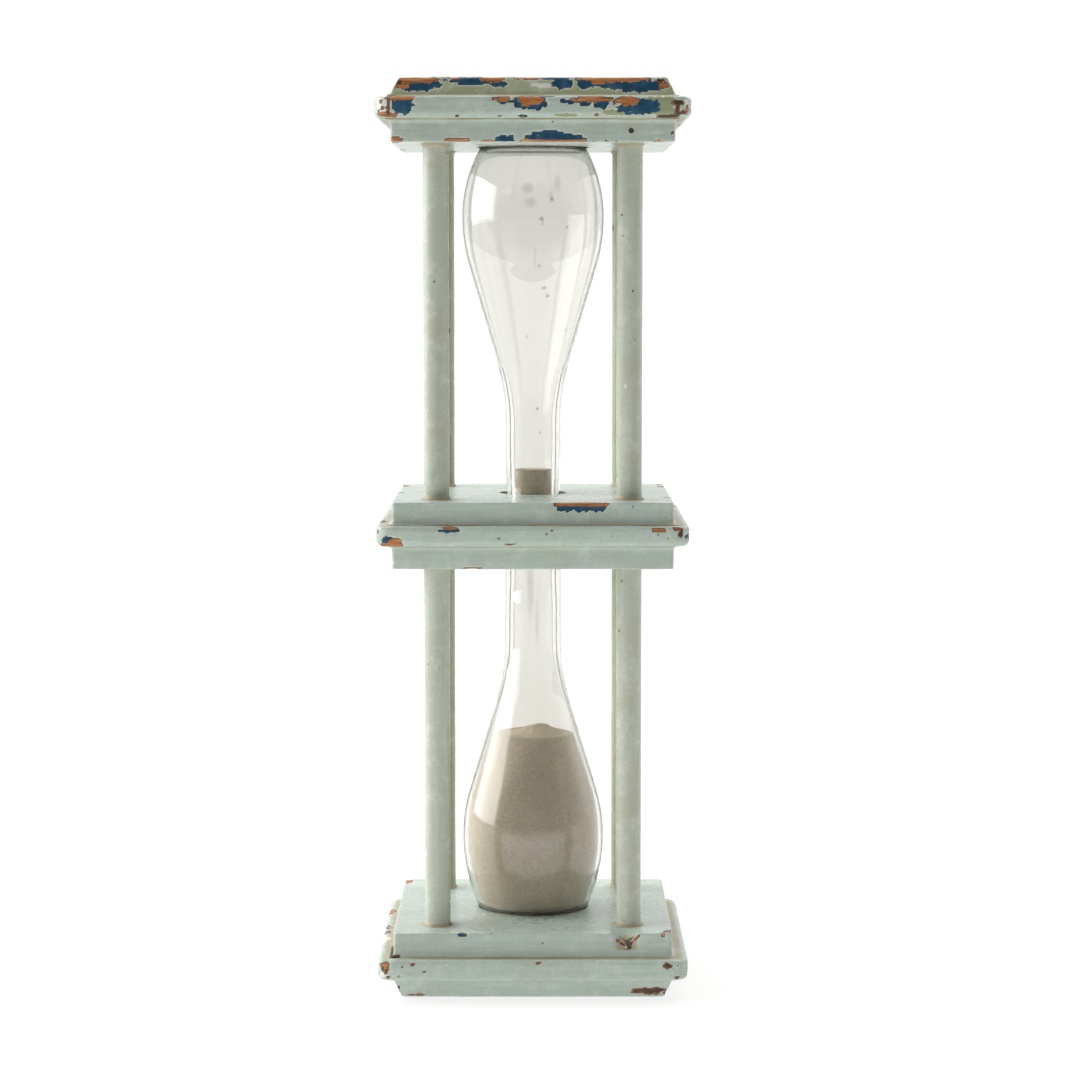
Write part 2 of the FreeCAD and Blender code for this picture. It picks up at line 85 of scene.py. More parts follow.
# Outlines of the bulbs: (radius, height from the disc, radius of the arc that leads to the next point,
# or 0 for a straight line). A positive arc bulges away from the axis and a negative one is hollow.
UPPER_OUTSIDE = [
    (8.7, 0, 0), (8.7, 5.0, 0), (9.9, 11.6, 0), (10.45, 24.3, 0), (10.45, 39.5, -72.0),
    (13.3, 59.8, 0), (23.7, 96.2, 66.5), (26.3, 114.5, 52.6), (19.3, 140.7, 1.6), (17.82, 141.7, 0), (0, 141.7, 0),
]
UPPER_INSIDE = [
    (7.1, 0, 0), (7.1, 22.0, 0), (7.3, 30.0, 0), (7.3, 38.0, -60.0), (11.4, 59.8, 0),
    (22.0, 96.2, 60.0), (24.6, 114.5, 50.9), (18.5, 138.7, 1.2), (17.4, 139.7, 0), (0, 139.7, 0),
]
LOWER_OUTSIDE = [
    (8.7, 0, 0), (8.7, 5.0, 0), (10.3, 11.6, 0), (10.6, 23.0, 0), (10.7, 44.7, -72.0),
    (13.6, 64.7, 0), (24.1, 100.4, 57.4), (26.4, 116.5, 66.0), (20.1, 145.2, 1.4), (18.84, 146.0, 0), (0, 146.0, 0),
]
LOWER_INSIDE = [
    (7.1, 0, 0), (7.1, 22.0, 0), (7.5, 30.0, 0), (7.5, 41.0, -60.0), (11.8, 64.7, 0),
    (22.5, 100.4, 53.0), (24.8, 116.5, 60.0), (20.3, 140.6, 4.0), (16.6, 144.4, 0), (0, 144.4, 0),
]
BORE = UPPER_INSIDE[0][0] * MM

# How far down through the paint a chip goes.
LAYERS = {"pale": 0.20, "olive": 0.34, "blue": 0.54, "wood": 0.78, "dark": 1.0}
# Chips on the front of each board: across, height, half width, half height, and the layer laid bare.
FRONT_CHIPS = {
    "top_cap_board": [
        (-40.5, 330.0, 8.0, 2.3, "blue"), (-42, 332.2, 9, 1.5, "wood"), (-46.5, 329.6, 2.6, 0.9, "wood"),
        (-21.5, 331.4, 7.8, 1.6, "blue"), (-14.2, 332.3, 5, 1.2, "wood"), (-12, 330.4, 3.2, 1.2, "blue"),
        (-28, 332.6, 2.2, 0.7, "wood"), (-2.5, 332.7, 5.4, 0.8, "wood"), (10.6, 330.6, 3.6, 2.1, "blue"),
        (18, 330.6, 2.4, 2.1, "blue"), (26, 331, 9, 1.9, "blue"), (37, 329.8, 10, 2.5, "blue"),
        (28.4, 332.4, 13, 1.3, "wood"), (24, 331, 3, 0.7, "wood"), (46.6, 329.6, 1.9, 1.0, "wood"),
        (4, 329.8, 5.2, 0.8, "pale"), (45.6, 331.6, 1.4, 0.6, "dark"), (-47.6, 331, 1.2, 0.9, "dark"),
    ],
    "top_wide_board": [
        (-46.3, 325.4, 5.4, 1.3, "wood"), (-45.8, 322, 3.8, 2.9, "blue"), (-54.2, 321.8, 3.4, 4.6, "pale"),
        (-54.2, 323.8, 0.6, 0.7, "wood"), (-53.4, 321.2, 0.5, 0.6, "dark"), (-55, 320.4, 0.5, 0.5, "wood"),
        (-50.9, 321.6, 0.6, 3.4, "dark"), (-51.8, 318.7, 4, 1.1, "wood"), (-10.8, 324.7, 3.2, 1.1, "wood"),
        (-9.6, 323.7, 3.1, 0.9, "blue"), (-0.4, 323.4, 6.2, 2.6, "blue"), (-1.2, 324.2, 4.4, 1.9, "wood"),
        (2.6, 325.8, 5.4, 0.7, "blue"), (10.9, 323.9, 1.3, 1.1, "blue"), (14, 323.8, 1.6, 1.1, "blue"),
        (21.3, 324.6, 6.8, 1.2, "wood"), (18.4, 323.2, 2.2, 1.2, "blue"), (24.2, 322.8, 2.7, 1.9, "blue"),
        (37.2, 321.8, 7.3, 2.8, "blue"), (33.4, 324, 4.4, 1.7, "wood"), (38, 321.6, 2.2, 1.2, "olive"),
        (44.6, 323.6, 6.4, 2.6, "olive"), (46, 320.4, 5.4, 2.2, "olive"), (30, 319.8, 5, 1.2, "olive"),
        (12, 318.8, 4.6, 0.8, "olive"), (47.8, 318, 4.6, 0.8, "dark"), (51.6, 323.4, 2.0, 1.1, "dark"),
        (51.2, 320.8, 0.9, 2.3, "dark"), (54.6, 322.6, 1.3, 2.0, "pale"), (53.4, 319.6, 1.3, 1.1, "dark"),
        (55.2, 320.4, 0.9, 2.2, "wood"), (-3.6, 318.3, 1.7, 0.8, "blue"), (-3.6, 318.1, 0.7, 0.4, "wood"),
        (-26.7, 318.5, 0.5, 0.4, "dark"), (-11.5, 318.5, 0.5, 0.4, "dark"), (22.6, 318.8, 0.9, 0.5, "dark"),
    ],
    "top_seat_board": [
        (-48.8, 310.4, 2.4, 1.1, "wood"), (-26.9, 310.3, 4.4, 0.9, "wood"), (-25.6, 310.6, 2.0, 0.5, "blue"),
        (-15.9, 309.9, 2.6, 0.5, "wood"), (-9.8, 310.7, 3.7, 1.5, "blue"), (7.4, 311.2, 10.4, 1.8, "blue"),
        (5.4, 312.4, 5.6, 1.5, "blue"), (9, 309.9, 11.5, 0.6, "wood"), (-1.6, 310.2, 2.6, 0.6, "wood"),
        (26.2, 310, 0.6, 0.4, "dark"), (49.7, 313, 0.5, 0.5, "dark"), (44.8, 309.8, 1.7, 0.5, "wood"),
        (44.6, 312.6, 1.8, 0.5, "olive"),
    ],
    "middle_upper_board": [
        (17.4, 180.8, 9.6, 1.0, "wood"), (17.4, 179.9, 8.6, 0.8, "blue"), (11.6, 179.2, 3.1, 1.3, "blue"),
        (17.8, 179.0, 2.9, 1.3, "blue"), (23.4, 179.2, 3.1, 1.4, "blue"), (9.6, 180.3, 2.2, 0.7, "blue"),
    ],
    "middle_wide_board": [
        (-29.6, 171.7, 3.6, 1.0, "blue"), (-29.8, 172.7, 2.6, 0.7, "wood"), (-56.2, 171, 0.9, 2.3, "blue"),
        (-52, 168, 2.3, 1.5, "blue"), (-49.2, 167.4, 2.3, 1.5, "wood"), (-50.6, 166.0, 4.6, 0.9, "wood"),
        (45.2, 171.9, 2.5, 0.95, "wood"), (52, 172.4, 1.8, 0.7, "wood"), (53, 170.6, 0.8, 1.6, "dark"),
        (-8, 166.6, 1.9, 0.35, "dark"), (48.6, 168.7, 0.6, 0.7, "olive"),
    ],
    "middle_lower_board": [(-21.8, 157.5, 3.3, 0.5, "wood"), (-19.6, 157.6, 1.2, 0.4, "blue")],
    "base_seat_board": [
        (-25.8, 23.8, 2.3, 0.8, "blue"), (47.4, 23.8, 0.8, 0.8, "wood"), (31.7, 22.8, 1.5, 1.3, "wood"),
        (36.9, 23.4, 1.9, 0.9, "wood"), (33.9, 20.9, 0.7, 1.2, "pale"), (32.6, 21.9, 0.7, 0.9, "dark"),
    ],
    "base_wide_board": [
        (-53.8, 13.6, 2.0, 1.8, "wood"), (-54.2, 10.8, 1.8, 2.2, "pale"), (-53.2, 11.4, 0.8, 1.0, "dark"),
        (-54.8, 12.4, 0.6, 0.9, "dark"), (-52.6, 9.2, 0.8, 0.6, "dark"), (48.6, 13.7, 1.6, 1.1, "dark"),
        (49.2, 13.4, 0.8, 0.7, "blue"), (52.2, 9.1, 0.9, 0.7, "dark"), (52.4, 13.6, 0.7, 1.0, "olive"),
        (-43.5, 14.2, 1.0, 0.4, "dark"), (-31.3, 13.9, 0.5, 0.4, "olive"), (-47.2, 13.2, 0.5, 0.4, "dark"),
        (-48.4, 9.6, 0.9, 0.8, "olive"), (-39.4, 11.6, 0.5, 0.4, "dark"), (-7.4, 14.1, 0.4, 0.3, "dark"),
        (2, 14.7, 0.9, 0.4, "dark"),
    ],
    "base_foot_board": [
        (-42.6, 0.9, 5, 0.8, "wood"), (42.3, 2.4, 6.6, 1.7, "dark"), (37.4, 2.6, 2.2, 1.2, "wood"),
        (44, 1.4, 4.6, 0.6, "wood"), (0, 0.0, 47, 0.3, "dark"),
    ],
}
# How worn each board's other sides are: chips a side, and how much of the arris is rubbed off its corners.
WEAR = {
    "top_cap_board": (18, 0.45), "top_wide_board": (14, 1.3), "top_seat_board": (6, 0.15),
    "middle_upper_board": (3, 0.1), "middle_wide_board": (6, 0.7), "middle_lower_board": (2, 0.1),
    "base_seat_board": (3, 0.15), "base_wide_board": (7, 0.8), "base_foot_board": (4, 0.6),
}
# Hazy smears on the bulbs: middle (across, depth, height), three half sizes, strength.
SMEARS = {
    "upper_bulb": [
        (-2, -24, 294, 2.6, 4, 2.2, 1.0), (-1, -25, 289, 3.0, 4, 2.6, 0.8), (9, -23, 296, 1.6, 4, 4.2, 0.9),
        (6.6, -24, 291, 1.1, 4, 2.6, 0.8), (1, -24, 268, 0.5, 5, 8.5, 0.8), (-7, -24, 266, 6.0, 4, 0.7, 0.5),
    ],
    "lower_bulb": [
        (-1, -10, 148, 1.6, 5, 16, 0.9), (1.5, -10, 133, 1.1, 5, 14, 0.7), (0, 10, 141, 0.7, 4, 14, 0.5),
        (-16, -17, 29, 2.6, 6, 1.6, 0.7),
    ],
}
# Dark specks on the front of the upper bulb: across, height, half width, half height.
SPECKS = [
    (7, 290, 0.5, 0.8), (3, 283, 0.6, 0.8), (3.6, 281, 0.4, 0.5), (12, 280, 0.45, 0.4), (2.5, 266, 0.5, 0.4),
    (4, 258, 1.0, 0.45), (5.2, 255, 0.45, 0.5), (11.5, 242.5, 0.4, 0.4), (-2, 240, 0.4, 0.4), (1.5, 213, 0.4, 0.4),
    (2.6, 204, 0.4, 0.4),
]


class HourglassSizes(bpy.types.PropertyGroup):
    """The sizes that a maker would change."""

    cove: bpy.props.FloatProperty(
        name="Cove", description="Radius of the paint-filled cove where two boards meet",
        default=1.7 * MM, min=0.0, unit="LENGTH")
    upper_round: bpy.props.FloatProperty(
        name="Upper round", description="Rounding of a wide board's upper edge",
        default=1.9 * MM, min=0.0, unit="LENGTH")
    lower_round: bpy.props.FloatProperty(
        name="Lower round", description="Rounding of a wide board's lower edge",
        default=2.7 * MM, min=0.0, unit="LENGTH")
    arris: bpy.props.FloatProperty(
        name="Arris", description="Rounding of a narrow board's free edge",
        default=0.55 * MM, min=0.0, unit="LENGTH")
    slope: bpy.props.FloatProperty(
        name="Slope", description="How far the cap and the foot narrow to their outer face",
        default=2.2 * MM, min=0.0, unit="LENGTH")
    round_over: bpy.props.FloatProperty(
        name="Round-over", description="Rounding of the cap's and the foot's outer edge",
        default=1.9 * MM, min=0.0, unit="LENGTH")
    corner_wide: bpy.props.FloatProperty(
        name="Wide corner", description="Corner radius of the wide boards",
        default=4.2 * MM, min=0.0, unit="LENGTH")
    corner_narrow: bpy.props.FloatProperty(
        name="Narrow corner", description="Corner radius of the narrow boards",
        default=1.3 * MM, min=0.0, unit="LENGTH")
    chip_depth: bpy.props.FloatProperty(
        name="Chip depth", description="How deep a chip goes through the paint",
        default=0.26 * MM, min=0.0, unit="LENGTH")
    sand_gap: bpy.props.FloatProperty(
        name="Sand gap", description="Air between the sand and the glass",
        default=0.15 * MM, min=0.0, unit="LENGTH")


def colour_property(name, description, default):
    """A colour that a maker would change."""
    return bpy.props.FloatVectorProperty(
        name=name, description=description, subtype="COLOR", size=4, min=0, max=1, default=default)


class HourglassColours(bpy.types.PropertyGroup):
    """The colours of the finishes."""

    sage: colour_property("Sage topcoat", "Last coat on the boards", (0.425, 0.505, 0.445, 1))
    post_sage: colour_property("Post paint", "Last coat on the two posts in front", (0.45, 0.485, 0.40, 1))
    post_olive: colour_property("Back post paint", "Last coat on the two posts behind", (0.40, 0.445, 0.285, 1))
    cap_olive: colour_property("Cap paint", "Last coat on the cap, rubbed to the olive", (0.37, 0.41, 0.255, 1))
    pale: colour_property("Primer", "Pale coat that shows at a chip's rim", (0.66, 0.65, 0.58, 1))
    olive: colour_property("Olive coat", "Coat under the sage", (0.27, 0.31, 0.17, 1))
    blue: colour_property("Blue coat", "Old coat of blue", (0.006, 0.052, 0.108, 1))
    wood: colour_property("Wood", "Stained wood under the paint", (0.44, 0.165, 0.05, 1))
    dark: colour_property("Dark wood", "Bruised and dirty wood", (0.055, 0.036, 0.026, 1))
    # the colour of the dirt, and of the painted shade next to the coves and the posts
    grime: colour_property("Dirt And Shade", "Dirt in the coves and round the posts", (0.36, 0.30, 0.18, 1))
    sand: colour_property("Sand", "Lighter grains of the sand", (0.97, 0.83, 0.61, 1))
    sand_dark: colour_property("Dark sand", "Darker grains of the sand", (0.68, 0.57, 0.405, 1))
    glass: colour_property("Glass", "Tint of the glass", (0.90, 0.893, 0.862, 1))


def sizes():
    """The sizes as the panel has them."""
    return bpy.context.scene.hourglass_sizes


def colours():
    """The colours as the panel has them."""
    return bpy.context.scene.hourglass_colours


# ---------------------------------------------------------------- surfaces


def ripple(points, size, seed):
    """A smooth irregular field from -1 to 1: the mean of sine waves about `size` long that run many ways."""
    waves = 14
    dice = np.random.default_rng(seed)
    ways = dice.normal(size=(waves, 3))
    length = size * dice.uniform(0.6, 1.6, (waves, 1))
    ways *= 2 * math.pi / length / np.linalg.norm(ways, axis=1, keepdims=True)
    return np.clip(np.sin(points @ ways.T + dice.uniform(0, 2 * math.pi, waves)).mean(1) * 2.4, -1, 1)


def new_piece(name, points, faces):
    """A mesh object at the origin, smooth but for its arrises."""
    mesh = bpy.data.meshes.new(name)
    mesh.from_pydata(points.tolist(), [], faces)
    mesh.polygons.foreach_set("use_smooth", np.ones(len(mesh.polygons), bool))
    mesh.update()
    piece = bpy.data.objects.new(name, mesh)
    bpy.context.scene.collection.objects.link(piece)
    return piece


def add_masks(mesh, **masks):
    """Keeps a number from 0 to 1 on each point of a mesh, for the finishes to read."""
    for label, values in masks.items():
        mesh.attributes.new(label, "FLOAT", "POINT").data.foreach_set("value", values.astype(np.float32))


def skin(rings, low, high):
    """Closed surface through rings[k][j], which run anticlockwise seen from above while k goes from the pole
    `low` out, up and in to the pole `high`: quads between neighbouring rings and a fan at each pole."""
    rows, count = rings.shape[:2]
    k, j = np.meshgrid(np.arange(rows - 1), np.arange(count), indexing="ij")
    after = (j + 1) % count
    quads = np.stack([k * count + j, k * count + after, (k + 1) * count + after, (k + 1) * count + j], -1)
    around = np.arange(count)
    beyond = (around + 1) % count
    last = (rows - 1) * count
    first_fan = np.stack([np.full(count, rows * count), beyond, around], -1)
    last_fan = np.stack([np.full(count, rows * count + 1), last + around, last + beyond], -1)
    points = np.concatenate([rings.reshape(-1, 3), [low], [high]])
    return points, quads.reshape(-1, 4).tolist() + first_fan.tolist() + last_fan.tolist()


def fine(profile, step):
    """The same broken line with each straight stretch cut into parts no longer than step."""
    profile = np.asarray(profile, float)
    parts = [np.linspace(a, b, max(2, int(np.linalg.norm(b - a) / step) + 2))[:-1]
             for a, b in zip(profile[:-1], profile[1:])]
    return np.concatenate([*parts, profile[-1:]])


def quarter(centre, radius, start, stop, count=6):
    """Points of an arc in the profile's plane: centre plus radius times (cos, sin) of an angle in degrees."""
    angle = np.radians(np.linspace(start, stop, count))
    return np.stack([centre[0] + radius * np.cos(angle), centre[1] + radius * np.sin(angle)], -1)


def board_profile(kind, half, low, high):
    """(half width, height) up the edge of a board. A narrow board has an arris on its free side and a cove that
    flares to the wide board, a wide board a round on both edges, and the cap and foot a cove and a round-over."""
    s = sizes()
    if kind == "wide":
        return np.concatenate([
            quarter((half - s.lower_round, low + s.lower_round), s.lower_round, -90, 0),
            quarter((half - s.upper_round, high - s.upper_round), s.upper_round, 0, 90)])
    if kind in ("cove_up", "cove_down"):
        edge = np.concatenate([
            quarter((half - s.arris, low + s.arris), s.arris, -90, 0, 4),
            quarter((half + s.cove, high - s.cove), s.cove, 180, 90)])
    else:
        face, flare, over = half - s.slope, 1.5 * MM, s.round_over
        edge = np.concatenate([
            quarter((face - over, low + over), over, -90, -12),
            quarter((half + 0.1 * MM + flare, high - flare), flare, 168, 90)])
    if kind in ("cove_down", "cap"):
        edge = edge[::-1] * (1, -1) + (0, low + high)
    return edge


def board_surface(name, kind, count=640):
    """A board as a rounded square carried up its profile. A point p of the square's outline goes to
    q + c (w p - q) / |w p - q|, where w is the half width, c the corner radius and q is w p held inside w - c."""
    low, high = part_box(name)
    half = high.x
    corner = sizes().corner_wide if kind == "wide" else sizes().corner_narrow
    edge = fine(board_profile(kind, half, low.z, high.z), 0.6 * MM)
    inset = np.array([0.6, 1.2, 1.8, 2.5, 3.3, 4.2, 5.2, 6.5, 8, 10, 13, 17, 22, 28, 35, 43]) * MM
    under = np.stack([edge[0, 0] - inset[::-1], np.full(len(inset), edge[0, 1])], -1)
    over = np.stack([edge[-1, 0] - inset, np.full(len(inset), edge[-1, 1])], -1)
    profile = np.concatenate([under, edge, over])
    along = np.linspace(-1, 1, count // 4, endpoint=False)
    one = np.ones_like(along)
    square = np.concatenate([
        np.stack([along, -one], -1), np.stack([one, along], -1),
        np.stack([-along, one], -1), np.stack([-one, -along], -1)])
    width = profile[:, 0][:, None, None]
    round_off = np.clip(corner - (half - width), 0.3 * MM, corner)
    spot = square[None] * width
    held = np.clip(spot, -(width - round_off), width - round_off)
    rest = spot - held
    flat = held + round_off * rest / np.maximum(np.linalg.norm(rest, axis=-1, keepdims=True), 1e-9)
    heights = np.broadcast_to(profile[:, 1][:, None, None], flat.shape[:2] + (1,))
    rings = np.concatenate([flat, heights], -1)
    points, faces = skin(rings, (0, 0, edge[0, 1]), (0, 0, edge[-1, 1]))
    return new_piece(name + "_look", points, faces)


def revolve(profile, count, wobble=None):
    """Surface of revolution: (r cos a, r sin a, z) for each point of a profile that starts and ends on the axis."""
    angle = np.linspace(0, 2 * math.pi, count, endpoint=False)
    radius, height = profile[1:-1, 0][:, None], profile[1:-1, 1][:, None]
    rings = np.stack([radius * np.cos(angle), radius * np.sin(angle), height + 0 * angle], -1)
    if wobble is not None:
        rings = wobble(rings)
    return skin(rings, (0, 0, profile[0, 1]), (0, 0, profile[-1, 1]))


def rod(x, y, low, high, radius, count=48):
    """Points and faces of a closed upright cylinder."""
    profile = np.array([(0, low), (radius, low), (radius, high), (0, high)])
    points, faces = revolve(profile, count)
    return points + (x, y, 0), faces


def outline_curve(table, step=0.8 * MM, passes=5):
    """(radius, height) along lines and arcs. An arc's centre is on the chord's perpendicular, as far off as its
    radius asks. The line is then evened out and smoothed by averaging each point with its neighbours."""
    table = np.array(table, float)
    parts = []
    for (r0, h0, bend), (r1, h1, _) in zip(table[:-1], table[1:]):
        a, b = np.array([r0, h0]), np.array([r1, h1])
        if not bend:
            parts.append(np.linspace(a, b, 12)[:-1])
            continue
        chord = b - a
        out = np.array([chord[1], -chord[0]]) / np.linalg.norm(chord)
        centre = (a + b) / 2 - math.copysign(1, bend) * out * math.sqrt(bend**2 - chord @ chord / 4)
        start, stop = np.arctan2(*(a - centre)[::-1]), np.arctan2(*(b - centre)[::-1])
        turn = (stop - start + math.pi) % (2 * math.pi) - math.pi
        angle = start + turn * np.linspace(0, 1, 24)[:-1]
        parts.append(centre + abs(bend) * np.stack([np.cos(angle), np.sin(angle)], -1))
    line = np.concatenate([*parts, table[-1:, :2]]) * MM
    length = np.concatenate([[0], np.cumsum(np.linalg.norm(np.diff(line, axis=0), axis=1))])
    even = np.linspace(0, length[-1], int(length[-1] / step))
    line = np.stack([np.interp(even, length, line[:, 0]), np.interp(even, length, line[:, 1])], -1)
    for _ in range(passes):
        line[1:-1] = (line[:-2] + 2 * line[1:-1] + line[2:]) / 4
    return line


# ---------------------------------------------------------------- holes, chips and dirt


def cut(piece, shells):
    """Takes closed shells out of a piece and keeps the result as its mesh."""
    points, faces, start = [], [], 0
    for spots, sides in shells:
        points.append(spots)
        faces += [[start + corner for corner in side] for side in sides]
        start += len(spots)
    cutter = new_piece(piece.name + "_cutter", np.concatenate(points), faces)
    step = piece.modifiers.new("holes", "BOOLEAN")
    step.object, step.operation, step.solver = cutter, "DIFFERENCE", "MANIFOLD"
    shape = bpy.data.meshes.new_from_object(piece.evaluated_get(bpy.context.evaluated_depsgraph_get()))
    piece.modifiers.clear()
    if len(shape.polygons) < 100:
        raise RuntimeError(f"the holes of {piece.name} could not be cut")
    piece.data = shape
    bpy.data.objects.remove(cutter)


def side_chips(name, half, low, high, into):
    """Chips scattered on a board's right, back and left side, most on an edge, and on the top of the cap."""
    number, _ = WEAR[name]
    dice = np.random.default_rng(sum(map(ord, name)))
    chips = []
    for side in range(1, 4):
        for _ in range(number):
            place = dice.uniform(-0.97, 0.97) * half
            edge = dice.choice([low.z, high.z, (low.z + high.z) / 2], p=[0.35, 0.45, 0.2])
            wide, tall = dice.gamma(2.2, 1.5) * MM + 0.5 * MM, dice.uniform(0.5, 1.9) * MM
            depth = dice.choice(["blue", "wood", "dark", "olive", "pale"], p=[0.34, 0.3, 0.1, 0.16, 0.1])
            for layer, share, up in ((depth, 1.0, 0.0), ("wood", 0.55, 0.25 * tall)):
                if layer == "wood" and depth not in ("blue", "wood"):
                    continue
                spot = {1: (half, place), 2: (place, half), 3: (-half, place)}[side]
                reach = {1: (into, wide * share), 2: (wide * share, into), 3: (into, wide * share)}[side]
                chips.append((*spot, edge + up, *reach, tall * share, LAYERS[layer]))
    if name == "top_cap_board":
        for _ in range(34):
            angle, out = dice.uniform(0, 2 * math.pi), dice.uniform(0.25, 1.0) ** 0.4
            spot = np.clip(np.array([math.cos(angle), math.sin(angle)]) * 1.35 * out, -0.93, 0.93) * half
            wide, long = dice.gamma(2.4, 1.6, 2) * MM + 0.6 * MM
            layer = dice.choice(["blue", "wood", "olive", "pale"], p=[0.42, 0.26, 0.24, 0.08])
            chips.append((*spot, high.z, wide, long, 1.2 * MM, LAYERS[layer]))
    return chips


def weather(piece, name, kind):
    """Chips, rubbed corners, dirt and painted shade of a board. Each chip is an ellipsoid with a ragged rim: wear
    is its layer times 5 (1.25 - q), which is held to 0..1, where q is the squared distance in the ellipsoid's half
    sizes plus some ripple."""
    low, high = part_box(name)
    half, mesh = high.x, piece.data
    spots = np.empty(len(mesh.vertices) * 3, np.float32)
    normals = np.empty(len(mesh.vertices) * 3, np.float32)
    mesh.vertices.foreach_get("co", spots)
    mesh.vertex_normals.foreach_get("vector", normals)
    spots, normals = spots.reshape(-1, 3).astype(float), normals.reshape(-1, 3).astype(float)
    out = np.abs(spots[:, :2]).max(1)
    into = 9 * MM if kind == "cap" else 3 * MM  # the cap's sloped face lies further in than the others
    chips = [
        (x * MM, -half, z * MM, a * MM, into, b * MM, LAYERS[layer]) for x, z, a, b, layer in FRONT_CHIPS[name]
    ] + side_chips(name, half, low, high, into)
    chips = np.array(chips)
    ragged = 0.42 * ripple(spots, 2.6 * MM, 3) + 0.25 * ripple(spots, 1.1 * MM, 4)
    apart = (((spots[:, None] - chips[None, :, :3]) / chips[None, :, 3:6]) ** 2).sum(-1) + ragged[:, None]
    wear = (np.clip((1.25 - apart) * 5.0, 0, 1) * chips[None, :, 6]).max(1)
    crown = (kind == "cap") & (spots[:, 2] > high.z - 0.2 * MM) & (normals[:, 2] > 0.5)
    outside = (out > WORN_BAND) | crown
    wear = np.where(outside, wear, 0)
    # dirt and painted shade: a dirt line in each cove, a wider band next to it that darkens towards the joint
    # (painted shade of the cove, mixed with dirt), and a dirt ring round each post
    meets = {"cove_up": [high.z], "foot": [high.z], "cove_down": [low.z], "cap": [low.z],
             "wide": [low.z, high.z]}[kind]
    near = np.min([np.abs(spots[:, 2] - z) for z in meets], 0)
    patchy = 0.5 + 0.5 * ripple(spots, 14 * MM, 6)
    line = np.exp(-((near / (0.55 * MM)) ** 2)) * (0.55 + 0.45 * patchy)
    if kind == "wide":
        line *= np.clip((half - 1.2 * MM - out) / (1.5 * MM), 0, 1)
    # painted shade: the face darkens towards the cove, mixed with patchy dirt
    cove_stain_and_shade = np.exp(-near / (2.4 * MM)) * 0.34 * patchy
    posts = np.hypot(np.abs(spots[:, 0]) - POST_REACH, np.abs(spots[:, 1]) - POST_REACH)
    ring = np.exp(-(((posts - POST_RADIUS - 0.7 * MM) / (0.8 * MM)) ** 2)) * 0.7
    dust = 0.24 * patchy * (normals[:, 2] > 0.7) * (spots[:, 2] < 200 * MM)
    grime = np.clip(np.maximum.reduce([line, cove_stain_and_shade, ring, dust]), 0, 1)
    # the surface: chips are sunk, corners are rubbed off, and old brushed paint is never quite even
    corner = np.linalg.norm(np.abs(spots[:, :2]) - half, axis=1)
    rubbed = WEAR[name][1] * MM * np.exp(-((corner / (4.5 * MM)) ** 2))
    rubbed *= 0.65 + 0.35 * ripple(spots, 3.5 * MM, 8)
    uneven = 0.045 * MM * (1 + ripple(spots, 17 * MM, 9)) + 0.025 * MM * (1 + ripple(spots, 3.2 * MM, 10))
    sink = sizes().chip_depth * np.clip((wear - 0.12) * 3, 0, 1) + rubbed + uneven
    spots = spots - normals * np.where(outside, sink, 0)[:, None]
    if name == "base_seat_board":
        spots, torn = notch(spots, high.z)
        grime = np.maximum(grime, torn)
    mesh.vertices.foreach_set("co", spots.astype(np.float32).ravel())
    add_masks(mesh, wear=wear, grime=grime)
    mesh.set_sharp_from_angle(angle=math.radians(42))
    mesh.update()


def notch(spots, top):
    """The broken edge in front of the right post: a V whose depth falls off from its middle line to both sides, and
    from the front edge to the post. Gives the moved points and how dirty the break is."""
    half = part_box("base_seat_board")[1].x
    across = np.abs(spots[:, 0] - NOTCH_AT - 0.5 * MM * ripple(spots, 3 * MM, 12)) / (5.0 * MM)
    into = spots[:, 1] + half
    front = (spots[:, 1] < -WORN_BAND) & (np.abs(spots[:, 0] - NOTCH_AT) < 6 * MM)
    depth = np.clip(1 - across, 0, 1) * np.clip(1 - into / (7 * MM), 0, 1) * front
    below = np.clip((top - spots[:, 2]) / (6.5 * MM), 0, 1)
    spots = spots.copy()
    spots[:, 2] -= 4.6 * MM * depth * (1 - below)
    spots[:, 1] += 2.0 * MM * depth * (1 - below) * (into < 2 * MM)
    return spots, np.clip(depth * 1.6, 0, 0.9) * (below < 0.95)


# ---------------------------------------------------------------- shader nodes


def put(tree, kind, sockets=None, **settings):
    """Adds a node, with its settings, and fills sockets with values or links."""
    node = tree.nodes.new(kind)
    for name, value in settings.items():
        setattr(node, name, value)
    for socket, value in (sockets or {}).items():
        if isinstance(value, bpy.types.NodeSocket):
            tree.links.new(value, node.inputs[socket])
        else:
            node.inputs[socket].default_value = value
    return node


def calc(tree, operation, first, second=0.0, clamp=False):
    """The result of a Math node."""
    return put(tree, "ShaderNodeMath", {0: first, 1: second}, operation=operation, use_clamp=clamp).outputs[0]


def mixed(tree, factor, first, second):
    """The first colour where the factor is 0, the second where it is 1."""
    return put(tree, "ShaderNodeMix", {0: factor, 6: first, 7: second}, data_type="RGBA").outputs[2]


def ramp(tree, factor, low, high):
    """0 below low, 1 above high, smooth between them."""
    return put(tree, "ShaderNodeMapRange", {0: factor, 1: low, 2: high}, interpolation_type="SMOOTHSTEP").outputs[0]


def stretched(tree, vector, scales):
    """Coordinates multiplied by three scales."""
    return put(tree, "ShaderNodeVectorMath", {0: vector, 1: scales}, operation="MULTIPLY").outputs[0]


def noise(tree, vector, scale, detail, rough):
    """Cloudy noise with this many repeats a metre."""
    sockets = {"Vector": vector, "Scale": scale, "Detail": detail, "Roughness": rough}
    return put(tree, "ShaderNodeTexNoise", sockets).outputs[0]


